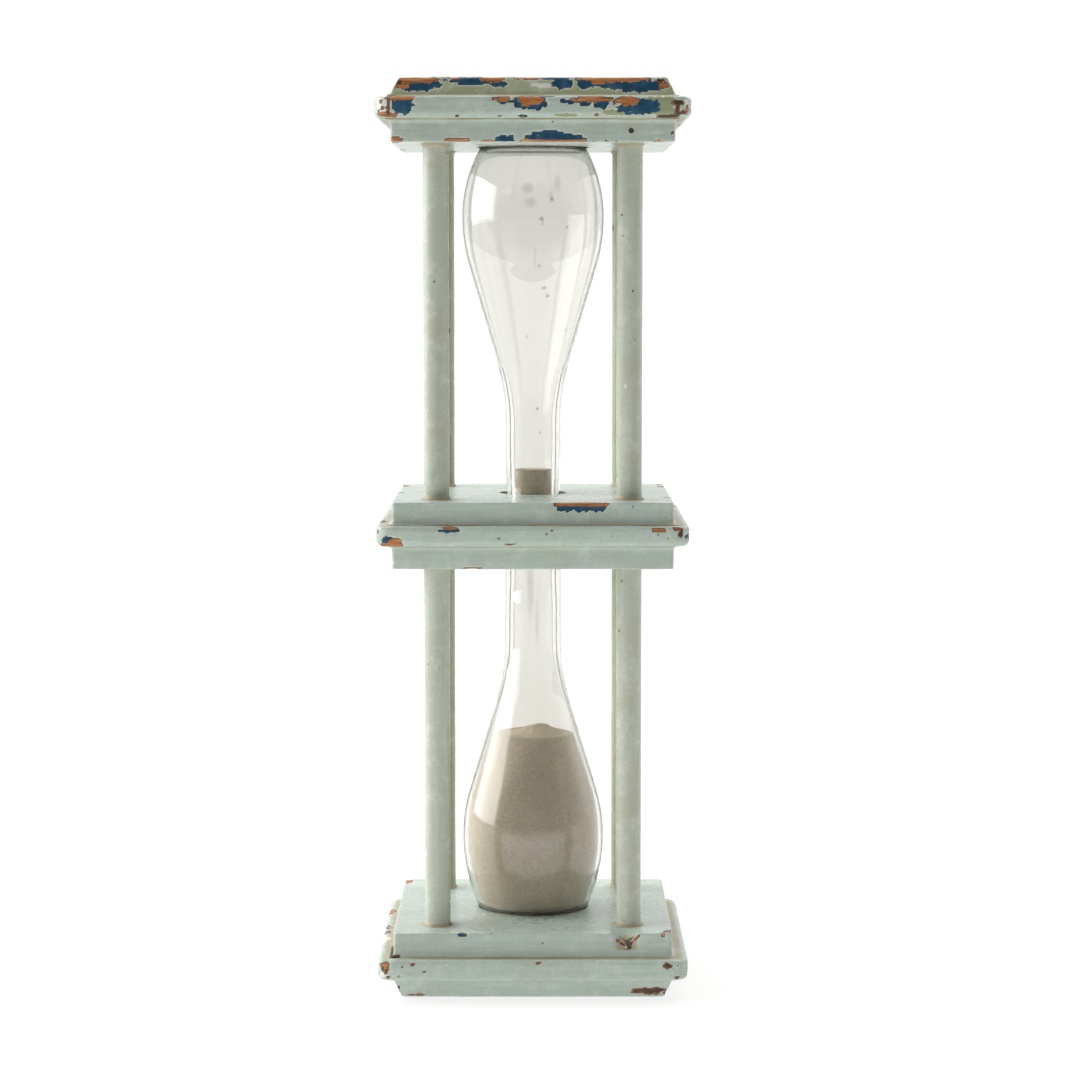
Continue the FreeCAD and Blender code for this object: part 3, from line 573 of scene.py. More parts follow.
def new_group(name, inputs, outputs):
    """A shader node group with named sockets, and its input and output nodes."""
    tree = bpy.data.node_groups.new(name, "ShaderNodeTree")
    for label, kind, default in inputs:
        socket = tree.interface.new_socket(name=label, in_out="INPUT", socket_type=kind)
        if default is not None:
            socket.default_value = default
    for label, kind in outputs:
        tree.interface.new_socket(name=label, in_out="OUTPUT", socket_type=kind)
    return tree, tree.nodes.new("NodeGroupInput").outputs, tree.nodes.new("NodeGroupOutput").inputs


def brushwork_group():
    """Uneven brushed paint: streaks along the stroke, pale scuffs, fine grit, cloudy dirt, a few dark specks, and
    dirt with painted shade where the mask says."""
    tree, given, made = new_group(
        "brushwork",
        [("Vector", "NodeSocketVector", None), ("Paint", "NodeSocketColor", (0.5, 0.5, 0.5, 1)),
         ("Dirt And Shade Color", "NodeSocketColor", (0.3, 0.25, 0.2, 1)), ("Dirt And Shade", "NodeSocketFloat", 0.0),
         ("Across", "NodeSocketFloat", 60.0), ("Up", "NodeSocketFloat", 900.0), ("Dirt", "NodeSocketFloat", 0.4)],
        [("Color", "NodeSocketColor"), ("Roughness", "NodeSocketFloat"), ("Height", "NodeSocketFloat")])
    stretch = put(tree, "ShaderNodeCombineXYZ", {0: given["Across"], 1: given["Across"], 2: given["Up"]}).outputs[0]
    streaks = noise(tree, stretched(tree, given["Vector"], stretch), 1.0, 4.0, 0.6)
    clouds = noise(tree, given["Vector"], 62.0, 4.0, 0.6)
    scuffs = ramp(tree, noise(tree, given["Vector"], 135.0, 6.0, 0.72), 0.50, 0.66)
    grit = ramp(tree, noise(tree, given["Vector"], 1500.0, 2.0, 0.6), 0.52, 0.70)
    mottle = noise(tree, given["Vector"], 340.0, 4.0, 0.65)
    light = mixed(tree, ramp(tree, streaks, 0.35, 0.72), mixed(tree, 0.07, given["Paint"], (0.1, 0.1, 0.08, 1)),
                  mixed(tree, 0.05, given["Paint"], (1, 1, 1, 1)))
    pale = mixed(tree, 0.38, given["Paint"], (0.86, 0.86, 0.78, 1))
    light = mixed(tree, calc(tree, "MULTIPLY", scuffs, given["Dirt"]), light, pale)
    light = mixed(tree, calc(tree, "MULTIPLY", grit, 0.16), light, (0.16, 0.14, 0.10, 1))
    smoky = calc(tree, "MULTIPLY", ramp(tree, clouds, 0.50, 0.74), given["Dirt"])
    dirty = mixed(tree, smoky, light, mixed(tree, 0.55, given["Paint"], given["Dirt And Shade Color"]))
    rubbed = calc(tree, "MULTIPLY", ramp(tree, mottle, 0.55, 0.75), calc(tree, "MULTIPLY", given["Dirt"], 0.5))
    dirty = mixed(tree, rubbed, dirty, given["Dirt And Shade Color"])
    # the mask's dirt lines and the painted shade next to the coves and posts, mixed toward the dirt colour
    edge = calc(tree, "ADD", given["Dirt And Shade"], calc(tree, "MULTIPLY", calc(tree, "SUBTRACT", mottle, 0.5), 0.7))
    lined = mixed(tree, calc(tree, "MULTIPLY", ramp(tree, edge, 0.16, 0.85), 0.86), dirty, given["Dirt And Shade Color"])
    cells = put(tree, "ShaderNodeTexVoronoi", {"Vector": given["Vector"], "Scale": 230.0}, feature="F1").outputs[0]
    sparse = ramp(tree, noise(tree, given["Vector"], 95.0, 2.0, 0.55), 0.60, 0.64)
    speck = calc(tree, "MULTIPLY", calc(tree, "SUBTRACT", 1.0, ramp(tree, cells, 0.07, 0.15)), sparse)
    tree.links.new(mixed(tree, calc(tree, "MULTIPLY", speck, 0.8), lined, (0.07, 0.055, 0.04, 1)), made["Color"])
    rough = calc(tree, "ADD", 0.20, calc(tree, "MULTIPLY", mottle, 0.12))
    tree.links.new(calc(tree, "ADD", rough, calc(tree, "MULTIPLY", given["Dirt And Shade"], 0.2), True), made["Roughness"])
    body = calc(tree, "ADD", calc(tree, "MULTIPLY", streaks, 0.55), calc(tree, "MULTIPLY", mottle, 0.3))
    tree.links.new(calc(tree, "SUBTRACT", body, calc(tree, "MULTIPLY", speck, 0.1)), made["Height"])
    return tree


def chipped_group():
    """Old coats one under another: wear plus fine ragged noise picks primer, olive, blue, wood or dark wood. Each
    coat starts between its own number in LAYERS and the number before it."""
    kinds = [("Topcoat", (0.5, 0.5, 0.5, 1)), ("Primer", (0.7, 0.7, 0.6, 1)), ("Olive", (0.3, 0.3, 0.2, 1)),
             ("Blue", (0.0, 0.1, 0.2, 1)), ("Wood", (0.4, 0.2, 0.1, 1)), ("Dark", (0.1, 0.1, 0.1, 1))]
    tree, given, made = new_group(
        "chipped_coats",
        [("Vector", "NodeSocketVector", None), ("Wear", "NodeSocketFloat", 0.0)]
        + [(label, "NodeSocketColor", default) for label, default in kinds],
        [("Color", "NodeSocketColor"), ("Bare", "NodeSocketFloat"), ("Height", "NodeSocketFloat")])
    tatter = noise(tree, given["Vector"], 900.0, 3.0, 0.7)
    worn = calc(tree, "ADD", given["Wear"], calc(tree, "MULTIPLY", calc(tree, "SUBTRACT", tatter, 0.5), 0.26))
    tone = noise(tree, given["Vector"], 260.0, 4.0, 0.65)
    fibre = noise(tree, stretched(tree, given["Vector"], (90.0, 90.0, 1500.0)), 1.0, 4.0, 0.65)
    faded = mixed(tree, 0.06, given["Blue"], (0.4, 0.7, 0.9, 1))
    blue = mixed(tree, ramp(tree, tone, 0.42, 0.66), given["Blue"], faded)
    wood = mixed(tree, ramp(tree, fibre, 0.34, 0.56), mixed(tree, 0.62, given["Wood"], (0.10, 0.03, 0.01, 1)),
                 mixed(tree, ramp(tree, fibre, 0.55, 0.72), given["Wood"], (0.72, 0.40, 0.19, 1)))
    dark = mixed(tree, ramp(tree, tone, 0.5, 0.68), given["Dark"], (0.19, 0.075, 0.03, 1))
    colour = given["Topcoat"]
    coats = ((given["Primer"], 0.13), (given["Olive"], 0.255), (blue, 0.385), (wood, 0.635), (dark, 0.885))
    for coat, low in coats:
        colour = mixed(tree, ramp(tree, worn, low, low + 0.02), colour, coat)
    tree.links.new(colour, made["Color"])
    tree.links.new(ramp(tree, worn, 0.115, 0.15), made["Bare"])
    into_wood = calc(tree, "MULTIPLY", ramp(tree, worn, 0.60, 0.66), 0.6)
    steps = calc(tree, "ADD", ramp(tree, worn, 0.10, 0.16), into_wood)
    tree.links.new(calc(tree, "SUBTRACT", calc(tree, "MULTIPLY", fibre, 0.1), steps), made["Height"])
    return tree


def granular_group():
    """Grains of two colours, with broad soft patches over them. Grain is the number of grains a metre."""
    tree, given, made = new_group(
        "granular",
        [("Vector", "NodeSocketVector", None), ("Light", "NodeSocketColor", (0.5, 0.5, 0.5, 1)),
         ("Dark", "NodeSocketColor", (0.2, 0.2, 0.2, 1)), ("Grain", "NodeSocketFloat", 2600.0)],
        [("Color", "NodeSocketColor"), ("Height", "NodeSocketFloat")])
    grains = put(tree, "ShaderNodeTexVoronoi", {"Vector": given["Vector"], "Scale": given["Grain"]}, feature="F1")
    tint = put(tree, "ShaderNodeSeparateColor", {0: grains.outputs["Color"]}).outputs[0]
    patch = noise(tree, given["Vector"], 70.0, 4.0, 0.6)
    patchy = calc(tree, "MULTIPLY", ramp(tree, patch, 0.3, 0.7), 0.4)
    pick = calc(tree, "ADD", calc(tree, "MULTIPLY", tint, 0.6), patchy)
    tree.links.new(mixed(tree, pick, given["Dark"], given["Light"]), made["Color"])
    tree.links.new(calc(tree, "SUBTRACT", 1.0, grains.outputs["Distance"]), made["Height"])
    return tree


EFFECTS = {"brushwork": brushwork_group, "chipped_coats": chipped_group, "granular": granular_group}


def effect(tree, name, sockets):
    """Adds a node for one of the groups, which is built the first time, and fills its sockets."""
    group = bpy.data.node_groups.get(name) or EFFECTS[name]()
    return put(tree, "ShaderNodeGroup", sockets, node_tree=group).outputs


def new_material(name):
    """A material with one shader, and its nodes, its shader and the object's coordinates."""
    material = bpy.data.materials.new(name)
    material.use_nodes = True
    tree = material.node_tree
    tree.nodes.clear()
    shader = tree.nodes.new("ShaderNodeBsdfPrincipled")
    tree.links.new(shader.outputs[0], put(tree, "ShaderNodeOutputMaterial").inputs[0])
    place = put(tree, "ShaderNodeTexCoord").outputs["Object"]
    return material, tree, shader, place


def add_bump(tree, shader, height, strength, distance):
    """Relief as deep as the distance where the height goes from 0 to 1."""
    bump = put(tree, "ShaderNodeBump", {"Height": height, "Strength": strength, "Distance": distance})
    tree.links.new(bump.outputs[0], shader.inputs["Normal"])


def mask(tree, label):
    """The number that add_masks kept on the points."""
    return put(tree, "ShaderNodeAttribute", attribute_name=label).outputs["Fac"]


def painted(name, topcoat, across, up, dirt):
    """Paint of several coats, chipped, brushed and dirty, with painted shade next to the coves and the posts. The
    boards' strokes run level and the posts' upright.
    """
    known = bpy.data.materials.get(name)
    if known:
        return known
    material, tree, shader, place = new_material(name)
    c = colours()
    # the mask carries dirt and the painted shade next to the coves and the posts
    brush = effect(tree, "brushwork", {
        "Vector": place, "Paint": topcoat, "Dirt And Shade Color": c.grime, "Dirt And Shade": mask(tree, "grime"),
        "Across": across, "Up": up, "Dirt": dirt})
    coats = effect(tree, "chipped_coats", {
        "Vector": place, "Wear": mask(tree, "wear"), "Topcoat": brush["Color"], "Primer": c.pale,
        "Olive": c.olive, "Blue": c.blue, "Wood": c.wood, "Dark": c.dark})
    tree.links.new(coats["Color"], shader.inputs["Base Color"])
    matt = calc(tree, "ADD", brush["Roughness"], calc(tree, "MULTIPLY", coats["Bare"], 0.16), True)
    tree.links.new(matt, shader.inputs["Roughness"])
    height = calc(tree, "ADD", calc(tree, "MULTIPLY", brush["Height"], 0.35), coats["Height"])
    shader.inputs["Specular IOR Level"].default_value = 0.3
    add_bump(tree, shader, height, 0.22, 0.12 * MM)
    return material


def grainy(name, light, dark, grain, roughness, metallic=0.0):
    """A matt or metallic finish with grains of two colours."""
    known = bpy.data.materials.get(name)
    if known:
        return known
    material, tree, shader, place = new_material(name)
    grains = effect(tree, "granular", {"Vector": place, "Light": light, "Dark": dark, "Grain": grain})
    tree.links.new(grains["Color"], shader.inputs["Base Color"])
    shader.inputs["Roughness"].default_value = roughness
    shader.inputs["Metallic"].default_value = metallic
    add_bump(tree, shader, grains["Height"], 0.6, 0.2 * MM)
    return material


def clear_glass():
    """Old blown glass: clear, with smears, greyer glass next to the seats and dark specks where the masks say, and
    a breath of dust all over.
    """
    known = bpy.data.materials.get("clear_glass_look")
    if known:
        return known
    material, tree, shader, place = new_material("clear_glass_look")
    wisps = calc(tree, "ADD", noise(tree, place, 420.0, 4.0, 0.7), 0.35)
    hazy = ramp(tree, calc(tree, "MULTIPLY", mask(tree, "haze"), wisps), 0.18, 0.75)
    dust = ramp(tree, noise(tree, place, 1500.0, 2.0, 0.55), 0.70, 0.76)
    soiled = calc(tree, "MAXIMUM", hazy, calc(tree, "MULTIPLY", dust, 0.35))
    stained = mixed(tree, soiled, colours().glass, (0.72, 0.71, 0.68, 1))
    specked = mixed(tree, mask(tree, "speck"), stained, (0.09, 0.07, 0.045, 1))
    tree.links.new(specked, shader.inputs["Base Color"])
    tree.links.new(calc(tree, "MULTIPLY", hazy, 0.05), shader.inputs["Roughness"])
    shader.inputs["Transmission Weight"].default_value = 0.95
    shader.inputs["IOR"].default_value = 1.5
    return material


def dress(piece, material, body="root", stands_for=()):
    """Gives a piece its finish and its body, and hides the nodes that it stands for."""
    piece.data.materials.clear()
    piece.data.materials.append(material)
    if stands_for:
        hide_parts(*stands_for)
    if body:
        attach(piece, body)
    return piece


# ---------------------------------------------------------------- pieces

BOARDS = {
    "base_foot_board": "foot", "base_wide_board": "wide", "base_seat_board": "cove_down",
    "middle_lower_board": "cove_up", "middle_wide_board": "wide", "middle_upper_board": "cove_down",
    "top_seat_board": "cove_up", "top_wide_board": "wide", "top_cap_board": "cap",
}


def board_shells(name):
    """The closed shells that are taken out of a board: post holes, and the neck hole or a bulb's recess. A post's
    hole is only as deep as the post goes, with a hair of air round it."""
    low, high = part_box(name)
    air = 0.02 * MM
    bottom, top = max(low.z - SPARE, POST_LOW.z - air), min(high.z + SPARE, POST_HIGH.z + air)
    radius = POST_RADIUS + 0.05 * MM
    shells = []
    if top - bottom > 2.5 * MM:
        shells = [rod(x * POST_REACH, y * POST_REACH, bottom, top, radius) for x in (-1, 1) for y in (-1, 1)]
    if name.startswith("middle"):
        shells.append(rod(0, 0, low.z - SPARE, high.z + SPARE, NECK_HOLE, 96))
    if name == "base_seat_board":
        shells.append(rod(0, 0, high.z - SEAT_DEPTH, high.z + SPARE, SEAT_RADIUS, 128))
    if name == "top_seat_board":
        shells.append(rod(0, 0, low.z - SPARE, low.z + SEAT_DEPTH, SEAT_RADIUS, 128))
    return shells


def nail_shells(name):
    """Holes for the brads, which stay open in front of the right post and are filled over the others."""
    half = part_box(name)[1].x
    level = sum(point.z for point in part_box(name.split("_")[0] + "_brads")) / 2
    shells = []
    for x in (-1, 1):
        for y in (-1, 1):
            start = half + 1 * MM if x > 0 and y < 0 else half - 0.7 * MM
            points, faces = rod(0, 0, POST_REACH + 2 * MM, start, BRAD_HOLE, 20)
            turned = np.stack([points[:, 0] + x * POST_REACH, y * points[:, 2], level - y * points[:, 1]], -1)
            shells.append((turned, faces))
    return shells


def make_post(name):
    """A post: radius r, with a small fillet of paint where it meets a board, r + f exp(-(d / f)^2) at distance d,
    and the slight flats of hand work. Its ends stand in the boards."""
    low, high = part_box(name)
    centre = (low + high) / 2
    axis = np.array([centre.x, centre.y, 0.0])
    faces = [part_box(board)[end].z for board, end in (
        ("base_seat_board", 1), ("middle_lower_board", 0), ("middle_upper_board", 1), ("top_seat_board", 0))]
    open_air = [(faces[0], faces[1]), (faces[2], faces[3])]
    close = [face + np.linspace(-1.5, 1.5, 13) * MM for face in faces]
    z = np.unique(np.concatenate([np.linspace(low.z, high.z, 380), *close]))
    radius = np.full(len(z), POST_RADIUS)
    free = np.any([(z > a) & (z < b) for a, b in open_air], 0)
    near = np.min([np.abs(z - face) for face in faces], 0)
    radius += np.where(free | (near < 1e-6), FILLET * np.exp(-((near / FILLET) ** 2)), 0)
    profile = np.concatenate([[(0, low.z)], np.stack([radius, z], -1), [(0, high.z)]])

    def hand_made(rings):
        spots = rings.reshape(-1, 3)
        broad, small = ripple(spots + axis, 22 * MM, 21), ripple(spots + axis, 4 * MM, 22)
        dent = 0.06 * MM * (1 + broad) + 0.02 * MM * (1 + small)
        shrink = 1 - dent / np.hypot(spots[:, 0], spots[:, 1])
        return (spots * np.stack([shrink, shrink, np.ones(len(shrink))], -1)).reshape(rings.shape)

    points, sides = revolve(profile, 72, hand_made)
    spots = points + axis
    piece = new_piece(name + "_look", spots, sides)
    height = np.min([np.abs(spots[:, 2] - face) for face in faces], 0)
    # a dark dirt ring where the post meets each board, and a band fading over 7 mm from it: dirt and painted shade
    grime = np.exp(-((height / (1.1 * MM)) ** 2)) * 0.8 + 0.25 * np.exp(-height / (7 * MM))
    # the posts behind are darker all over
    back = 0.38 if centre.y > 0 else 0.0
    grime = np.clip(grime + back * (0.6 + 0.4 * ripple(spots, 30 * MM, 24)), 0, 1)
    number = 7
    dice = np.random.default_rng(sum(map(ord, name)))
    angle, level = dice.uniform(0, 2 * math.pi, number), dice.uniform(faces[0], faces[3], number)
    chips = np.stack([centre.x + POST_RADIUS * np.cos(angle), centre.y + POST_RADIUS * np.sin(angle), level], -1)
    half = dice.uniform(0.4, 1.3, (number, 1)) * MM * np.array([[1, 1, 1.5]])
    ragged = 0.4 * ripple(spots, 1.5 * MM, 25)
    apart = (((spots[:, None] - chips[None]) / half[None]) ** 2).sum(-1) + ragged[:, None]
    layers = dice.choice([LAYERS["pale"], LAYERS["olive"], LAYERS["blue"]], number)
    wear = (np.clip((1 - apart) * 2.5, 0, 1) * layers[None]).max(1)
    add_masks(piece.data, wear=wear, grime=grime)
    piece.data.set_sharp_from_angle(angle=math.radians(50))
    return piece


def make_bulb(name, outside, inside, upward):
    """A bulb's wall: its outside and inside outlines joined into one line from axis to axis, then revolved."""
    outer, inner = outline_curve(outside), outline_curve(inside)
    if upward:
        line = np.concatenate([inner[::-1], outer]) + (0, DISC_HIGH)
    else:
        line = np.concatenate([outer[::-1], inner]) * (1, -1) + (0, DISC_LOW)
    points, sides = revolve(line, 192)
    piece = new_piece(name + "_look", points, sides)
    haze = np.zeros(len(points))
    for x, y, z, a, b, c, strength in SMEARS[name]:
        apart = (((points - np.array([x, y, z]) * MM) / (np.array([a, b, c]) * MM)) ** 2).sum(1)
        haze = np.maximum(haze, strength * np.exp(-apart))
    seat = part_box(name)[1].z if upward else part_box(name)[0].z
    radius = np.hypot(points[:, 0], points[:, 1])
    # greyer, hazier glass within about 4 mm of the board that the bulb stands on
    near_seat = np.clip(1.2 - np.abs(points[:, 2] - seat) / (4 * MM), 0, 0.45)
    haze = np.maximum(haze, near_seat * (radius < 24.5 * MM))
    speck = np.zeros(len(points))
    for x, z, a, c in SPECKS if upward else []:
        apart = ((points[:, 0] - x * MM) / (a * MM)) ** 2 + ((points[:, 2] - z * MM) / (c * MM)) ** 2
        speck = np.maximum(speck, np.clip(1.1 - apart, 0, 0.7) * (points[:, 1] < 0))
    add_masks(piece.data, speck=speck, haze=haze)
    return piece


def glass_radius(height):
    """The lower bulb's inside radius at a height above the ground."""
    line = outline_curve(LOWER_INSIDE)
    level, radius = DISC_LOW - line[:-2, 1], line[:-2, 0]
    return np.interp(height, level[::-1], radius[::-1])


def make_heap():
    """The heap: it fills the bulb to a ring, rises a little inwards, and bears a dome of height
    h cos(90 deg q)^1.3, where q is the distance from the dome's middle over its radius. The clearance grows with
    height, so that the heap still fits when it has risen."""
    crown_low, crown_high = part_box("lower_sand_crown")
    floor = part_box("lower_sand_heap")[0].z
    ring = crown_low.z + 4.9 * MM
    lip, dome_middle, dome_radius = 0.5 * MM, 2.6 * MM, 9.5 * MM
    wall = np.linspace(floor + 0.6 * MM, ring, 110)
    clear = sizes().sand_gap + 0.55 * MM * np.clip((wall - 70 * MM) / (15 * MM), 0, 1)
    side = np.stack([glass_radius(wall) - clear, wall], -1)
    bottom = np.stack([np.linspace(0, side[0, 0] - 0.5 * MM, 14), np.full(14, floor)], -1)
    reach = np.linspace(1, 0, 34)
    slope = np.stack([side[-1, 0] * reach, ring + lip * (1 - reach)], -1)
    line = np.concatenate([bottom, side, slope[1:]])
    line[-1, 0] = 0

    def grainy_top(rings):
        spots = rings.reshape(-1, 3)
        loose = np.clip((spots[:, 2] - ring) / (0.1 * MM), 0, 1)
        apart = np.hypot(spots[:, 0] - dome_middle, spots[:, 1]) / dome_radius
        dome = np.clip(np.cos(np.clip(apart, 0, 1) * math.pi / 2), 0, 1) ** 1.3
        spots[:, 2] += (crown_high.z - ring - lip) * loose * dome
        spots[:, 2] += 0.12 * MM * loose * (ripple(spots, 2.2 * MM, 31) + ripple(spots, 6 * MM, 32) - 1.2)
        return spots.reshape(rings.shape)

    points, sides = revolve(line, 160, grainy_top)
    piece = new_piece("lower_sand_look", points, sides)
    piece.data.set_sharp_from_angle(angle=math.radians(50))
    return piece


def make_plug(name, node, radius, dished):
    """A round plug of sand as tall as its node. A dished top sinks in the middle by d (1 - (r / R)^2)."""
    low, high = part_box(node)
    reach = np.linspace(0, 1, 16) * radius
    under = np.stack([reach, np.full(16, low.z)], -1)
    side = np.stack([np.full(30, radius), np.linspace(low.z, high.z, 30)], -1)
    over = np.stack([reach, high.z - dished * (1 - (reach / radius) ** 2)], -1)[::-1]
    points, sides = revolve(np.concatenate([under, side[1:-1], over]), 96)
    piece = new_piece(name, points, sides)
    piece.data.set_sharp_from_angle(angle=math.radians(50))
    return piece


class HOURGLASS_OT_boards(bpy.types.Operator):
    """Builds the nine moulded and painted boards"""

    bl_idname = "hourglass.boards"
    bl_label = "Boards"

    def execute(self, context):
        sage = painted("sage_paint_look", colours().sage, 55.0, 800.0, 0.42)
        olive = painted("cap_paint_look", colours().cap_olive, 55.0, 800.0, 0.6)
        for name, kind in BOARDS.items():
            piece = board_surface(name, kind)
            shells = board_shells(name)
            if shells:
                cut(piece, shells)
            if "seat" in name:
                cut(piece, nail_shells(name))
            weather(piece, name, kind)
            dress(piece, olive if kind == "cap" else sage, stands_for=[name])
        return {"FINISHED"}


class HOURGLASS_OT_posts(bpy.types.Operator):
    """Builds the four round posts"""

    bl_idname = "hourglass.posts"
    bl_label = "Posts"

    def execute(self, context):
        front = painted("post_paint_look", colours().post_sage, 420.0, 22.0, 0.5)
        back = painted("back_post_paint_look", colours().post_olive, 420.0, 22.0, 0.5)
        for name in ("front_left_post", "front_right_post", "back_left_post", "back_right_post"):
            dress(make_post(name), back if name.startswith("back") else front, stands_for=[name])
        return {"FINISHED"}


class HOURGLASS_OT_glass(bpy.types.Operator):
    """Builds the two blown bulbs"""

    bl_idname = "hourglass.glass"
    bl_label = "Glass"

    def execute(self, context):
        for name, outside, inside, upward in (
                ("upper_bulb", UPPER_OUTSIDE, UPPER_INSIDE, True),
                ("lower_bulb", LOWER_OUTSIDE, LOWER_INSIDE, False)):
            dress(make_bulb(name, outside, inside, upward), clear_glass(), stands_for=[name])
        return {"FINISHED"}


class HOURGLASS_OT_sand(bpy.types.Operator):
    """Builds the sand: the heap below, and the column and its top layer in the upper neck"""

    bl_idname = "hourglass.sand"
    bl_label = "Sand"

    def execute(self, context):
        c = colours()
        finish = grainy("sand_look", c.sand, c.sand_dark, 1700.0, 0.95)
        heap = dress(make_heap(), finish, body=None, stands_for=["lower_sand_heap", "lower_sand_crown"])
        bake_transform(heap)
        radius = BORE - sizes().sand_gap
        column = make_plug("upper_sand_column_look", "upper_sand_column", radius, 0)
        dress(column, finish, stands_for=["upper_sand_column"])
        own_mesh(column)
        layer = make_plug("upper_sand_surface_look", "upper_sand_surface", radius, 0.5 * MM)
        dress(layer, finish, body="upper_sand_top", stands_for=["upper_sand_surface"])
        return {"FINISHED"}


class HOURGLASS_OT_fittings(bpy.types.Operator):
    """Gives the brads, disc, wax, cord and felt pads their finishes"""

    bl_idname = "hourglass.fittings"
    bl_label = "Fittings"

    def execute(self, context):
        # name, light and dark grains, grains a metre, roughness, metal, and the nodes that wear it
        finishes = (
            ("brad_steel_look", (0.20, 0.18, 0.14, 1), (0.07, 0.05, 0.035, 1), 1800.0, 0.5, 0.8,
             ("top_brads", "base_brads")),
            ("orifice_brass_look", (0.72, 0.52, 0.24, 1), (0.48, 0.31, 0.13, 1), 1200.0, 0.35, 1.0,
             ("orifice_disc",)),
            ("sealing_wax_look", (0.42, 0.13, 0.06, 1), (0.24, 0.06, 0.03, 1), 500.0, 0.45, 0.0,
             ("neck_wax_seal",)),
            ("waxed_cord_look", (0.50, 0.40, 0.24, 1), (0.28, 0.20, 0.11, 1), 1500.0, 0.7, 0.0,
             ("neck_binding",)),
            ("seat_felt_look", (0.42, 0.44, 0.36, 1), (0.24, 0.26, 0.2, 1), 1600.0, 0.95, 0.0,
             ("upper_seat_pad", "lower_seat_pad")),
        )
        for *looks, nodes in finishes:
            finish = grainy(*looks)
            for name in nodes:
                for material_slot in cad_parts[name].material_slots:
                    material_slot.material = finish
        return {"FINISHED"}


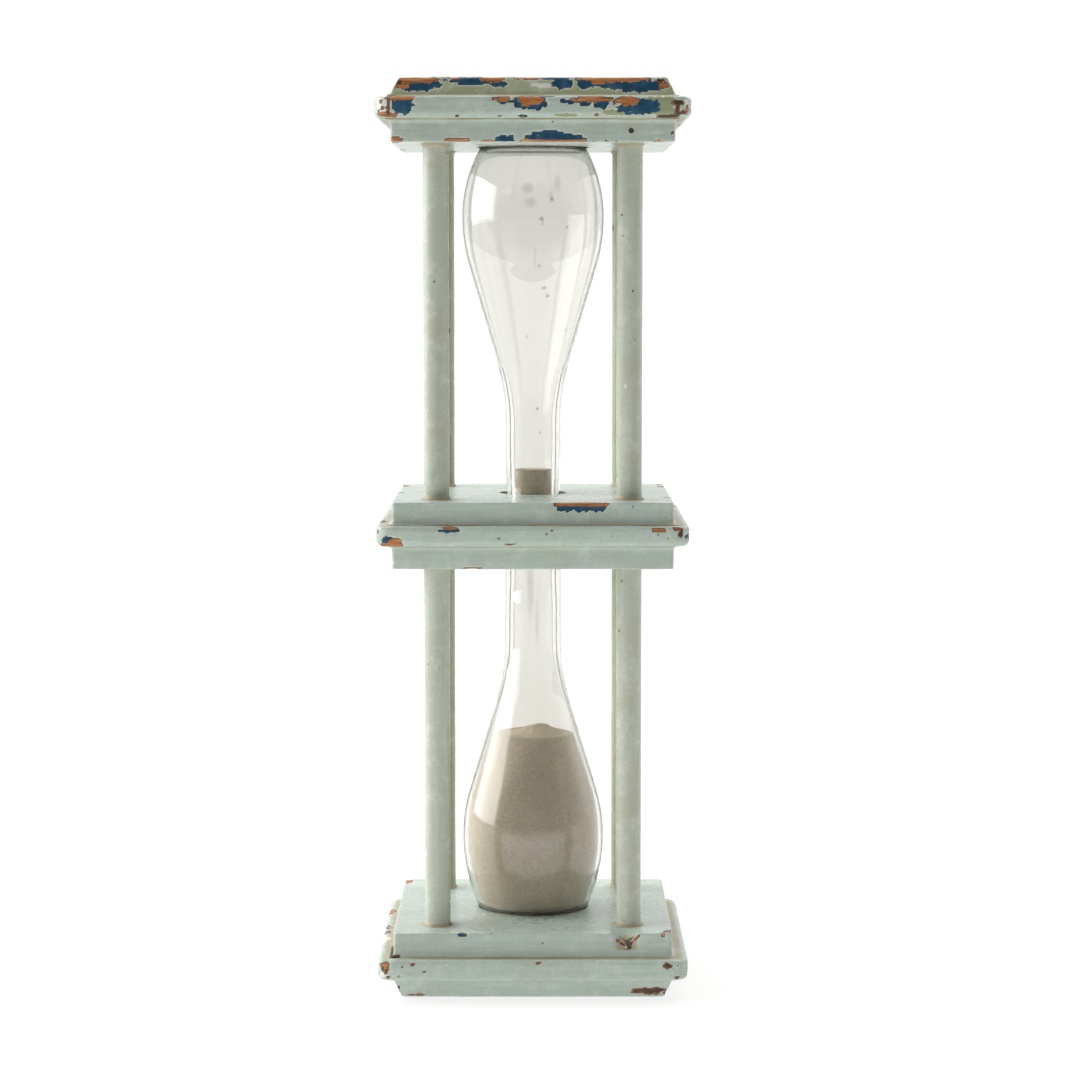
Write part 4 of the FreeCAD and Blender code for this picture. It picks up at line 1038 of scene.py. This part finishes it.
class HOURGLASS_OT_stage(bpy.types.Operator):
    """Sets up the pale floor, which glows as painted light, the soft studio light and the camera"""

    bl_idname = "hourglass.stage"
    bl_label = "Stage"

    def execute(self, context):
        scene = context.scene
        scene.view_settings.view_transform = "Standard"
        reach = 30.0
        corners = np.array([(-reach, -reach, 0), (reach, -reach, 0), (reach, reach, 0), (-reach, reach, 0)])
        floor = new_piece("floor", corners, [[0, 1, 2, 3]])
        material = bpy.data.materials.new("glowing_floor_paper")
        material.use_nodes = True
        tree = material.node_tree
        tree.nodes.clear()
        place = put(tree, "ShaderNodeTexCoord").outputs["Object"]
        # painted light: the floor glows, brighter from 0.14 m in front of the object on, and fading from 0.3 m to 1
        # m in front
        ahead = calc(tree, "MULTIPLY", put(tree, "ShaderNodeSeparateXYZ", {0: place}).outputs[1], -1.0)
        lit = calc(tree, "ADD", 0.76, calc(tree, "MULTIPLY", ramp(tree, ahead, 0.14, 0.25), 0.3))
        lit = calc(tree, "SUBTRACT", lit, calc(tree, "MULTIPLY", ramp(tree, ahead, 0.3, 1.0), 0.9))
        glow = put(tree, "ShaderNodeEmission", {"Color": (1, 1, 1, 1), "Strength": lit})
        paper = put(tree, "ShaderNodeBsdfDiffuse", {"Color": (0.27, 0.27, 0.265, 1)})
        both = put(tree, "ShaderNodeAddShader", {0: glow.outputs[0], 1: paper.outputs[0]})
        put(tree, "ShaderNodeOutputMaterial", {0: both.outputs[0]})
        floor.data.materials.append(material)

        world = bpy.data.worlds.new("studio")
        scene.world = world
        world.use_nodes = True
        tree = world.node_tree
        tree.nodes.clear()
        # the room, by direction: white behind, a wide softbox on the left, and some light from the right and above
        direction = put(tree, "ShaderNodeTexCoord").outputs["Generated"]
        way = put(tree, "ShaderNodeSeparateXYZ", {0: direction}).outputs
        behind = ramp(tree, way[1], -0.2, 0.4)
        level = calc(tree, "ADD", calc(tree, "MULTIPLY", behind, 0.82), 0.15)
        left = calc(tree, "MULTIPLY", ramp(tree, way[1], -0.44, -0.38), ramp(tree, way[0], 0.0, -0.1))
        left = calc(tree, "MULTIPLY", left, calc(tree, "SUBTRACT", 1.0, ramp(tree, way[1], 0.45, 0.6)))
        left = calc(tree, "MULTIPLY", left, calc(tree, "SUBTRACT", 1.0, ramp(tree, way[2], 0.68, 0.74)))
        right = ramp(tree, way[0], 0.75, 1.0)
        above = calc(tree, "MULTIPLY", ramp(tree, way[2], 0.3, 0.65), ramp(tree, way[1], -0.3, 0.3))
        for part, strength in ((left, 4.2), (right, 0.5), (above, 1.5)):
            level = calc(tree, "ADD", level, calc(tree, "MULTIPLY", part, strength))
        sky = put(tree, "ShaderNodeBackground", {"Color": (1, 1, 1, 1), "Strength": level})
        white = put(tree, "ShaderNodeBackground", {"Color": (1, 1, 1, 1), "Strength": 1.02})
        seen = put(tree, "ShaderNodeLightPath").outputs["Is Camera Ray"]
        pick = put(tree, "ShaderNodeMixShader", {0: seen, 1: sky.outputs[0], 2: white.outputs[0]})
        put(tree, "ShaderNodeOutputWorld", {0: pick.outputs[0]})

        # a softbox high on the left, and a low fill in front that the glass doesn't mirror
        for name, spot, look_at, wide, tall, power, mirrored in (
                ("softbox", (-1.05, -0.95, 0.95), 0.17, 0.45, 0.45, 0.5, True),
                ("low_fill", (-0.12, -0.55, 0.04), 0.0, 0.6, 0.08, 0.46, False)):
            box = bpy.data.lights.new(name, "AREA")
            box.shape, box.size, box.size_y, box.energy = "RECTANGLE", wide, tall, power
            lamp = bpy.data.objects.new(name, box)
            lamp.location = spot
            lamp.visible_glossy = lamp.visible_transmission = mirrored
            aim = np.array([0.0, 0.0, look_at]) - np.array(spot)
            lamp.rotation_euler = (
                math.acos(-aim[2] / np.linalg.norm(aim)), 0, math.atan2(aim[1], aim[0]) - math.pi / 2)
            scene.collection.objects.link(lamp)

        lens = bpy.data.cameras.new("camera")
        lens.lens, lens.sensor_width = 102.74, 36.0
        lens.clip_end = 100.0
        camera = bpy.data.objects.new("camera", lens)
        camera.location = (2.6 * MM, -1153.6 * MM, 263.7 * MM)
        camera.rotation_euler = (math.radians(90 - 4.97), 0, 0)
        scene.collection.objects.link(camera)
        scene.camera = camera
        return {"FINISHED"}


class HOURGLASS_PT_panel(bpy.types.Panel):
    """Lists the pieces, their sizes and their colours"""

    bl_idname = "HOURGLASS_PT_panel"
    bl_label = "Hourglass"
    bl_space_type = "VIEW_3D"
    bl_region_type = "UI"
    bl_category = "Hourglass"

    def draw(self, context):
        for group in (context.scene.hourglass_sizes, context.scene.hourglass_colours):
            column = self.layout.column()
            for label in type(group).__annotations__:
                column.prop(group, label)
        for operator in OPERATORS:
            self.layout.operator(operator.bl_idname)


OPERATORS = (
    HOURGLASS_OT_boards, HOURGLASS_OT_posts, HOURGLASS_OT_glass, HOURGLASS_OT_sand, HOURGLASS_OT_fittings,
    HOURGLASS_OT_stage,
)
CLASSES = (HourglassSizes, HourglassColours, *OPERATORS, HOURGLASS_PT_panel)


def register():
    """Makes the classes, and the sizes and colours of the scene, known"""
    for item in CLASSES:
        bpy.utils.register_class(item)
    bpy.types.Scene.hourglass_sizes = bpy.props.PointerProperty(type=HourglassSizes)
    bpy.types.Scene.hourglass_colours = bpy.props.PointerProperty(type=HourglassColours)


def unregister():
    """Takes back what register does"""
    del bpy.types.Scene.hourglass_colours
    del bpy.types.Scene.hourglass_sizes
    for item in reversed(CLASSES):
        bpy.utils.unregister_class(item)


def main():
    """Builds everything"""
    register()
    bpy.ops.hourglass.boards()
    bpy.ops.hourglass.posts()
    bpy.ops.hourglass.glass()
    bpy.ops.hourglass.sand()
    bpy.ops.hourglass.fittings()
    bpy.ops.hourglass.stage()


if __name__ == "__main__":
    main()
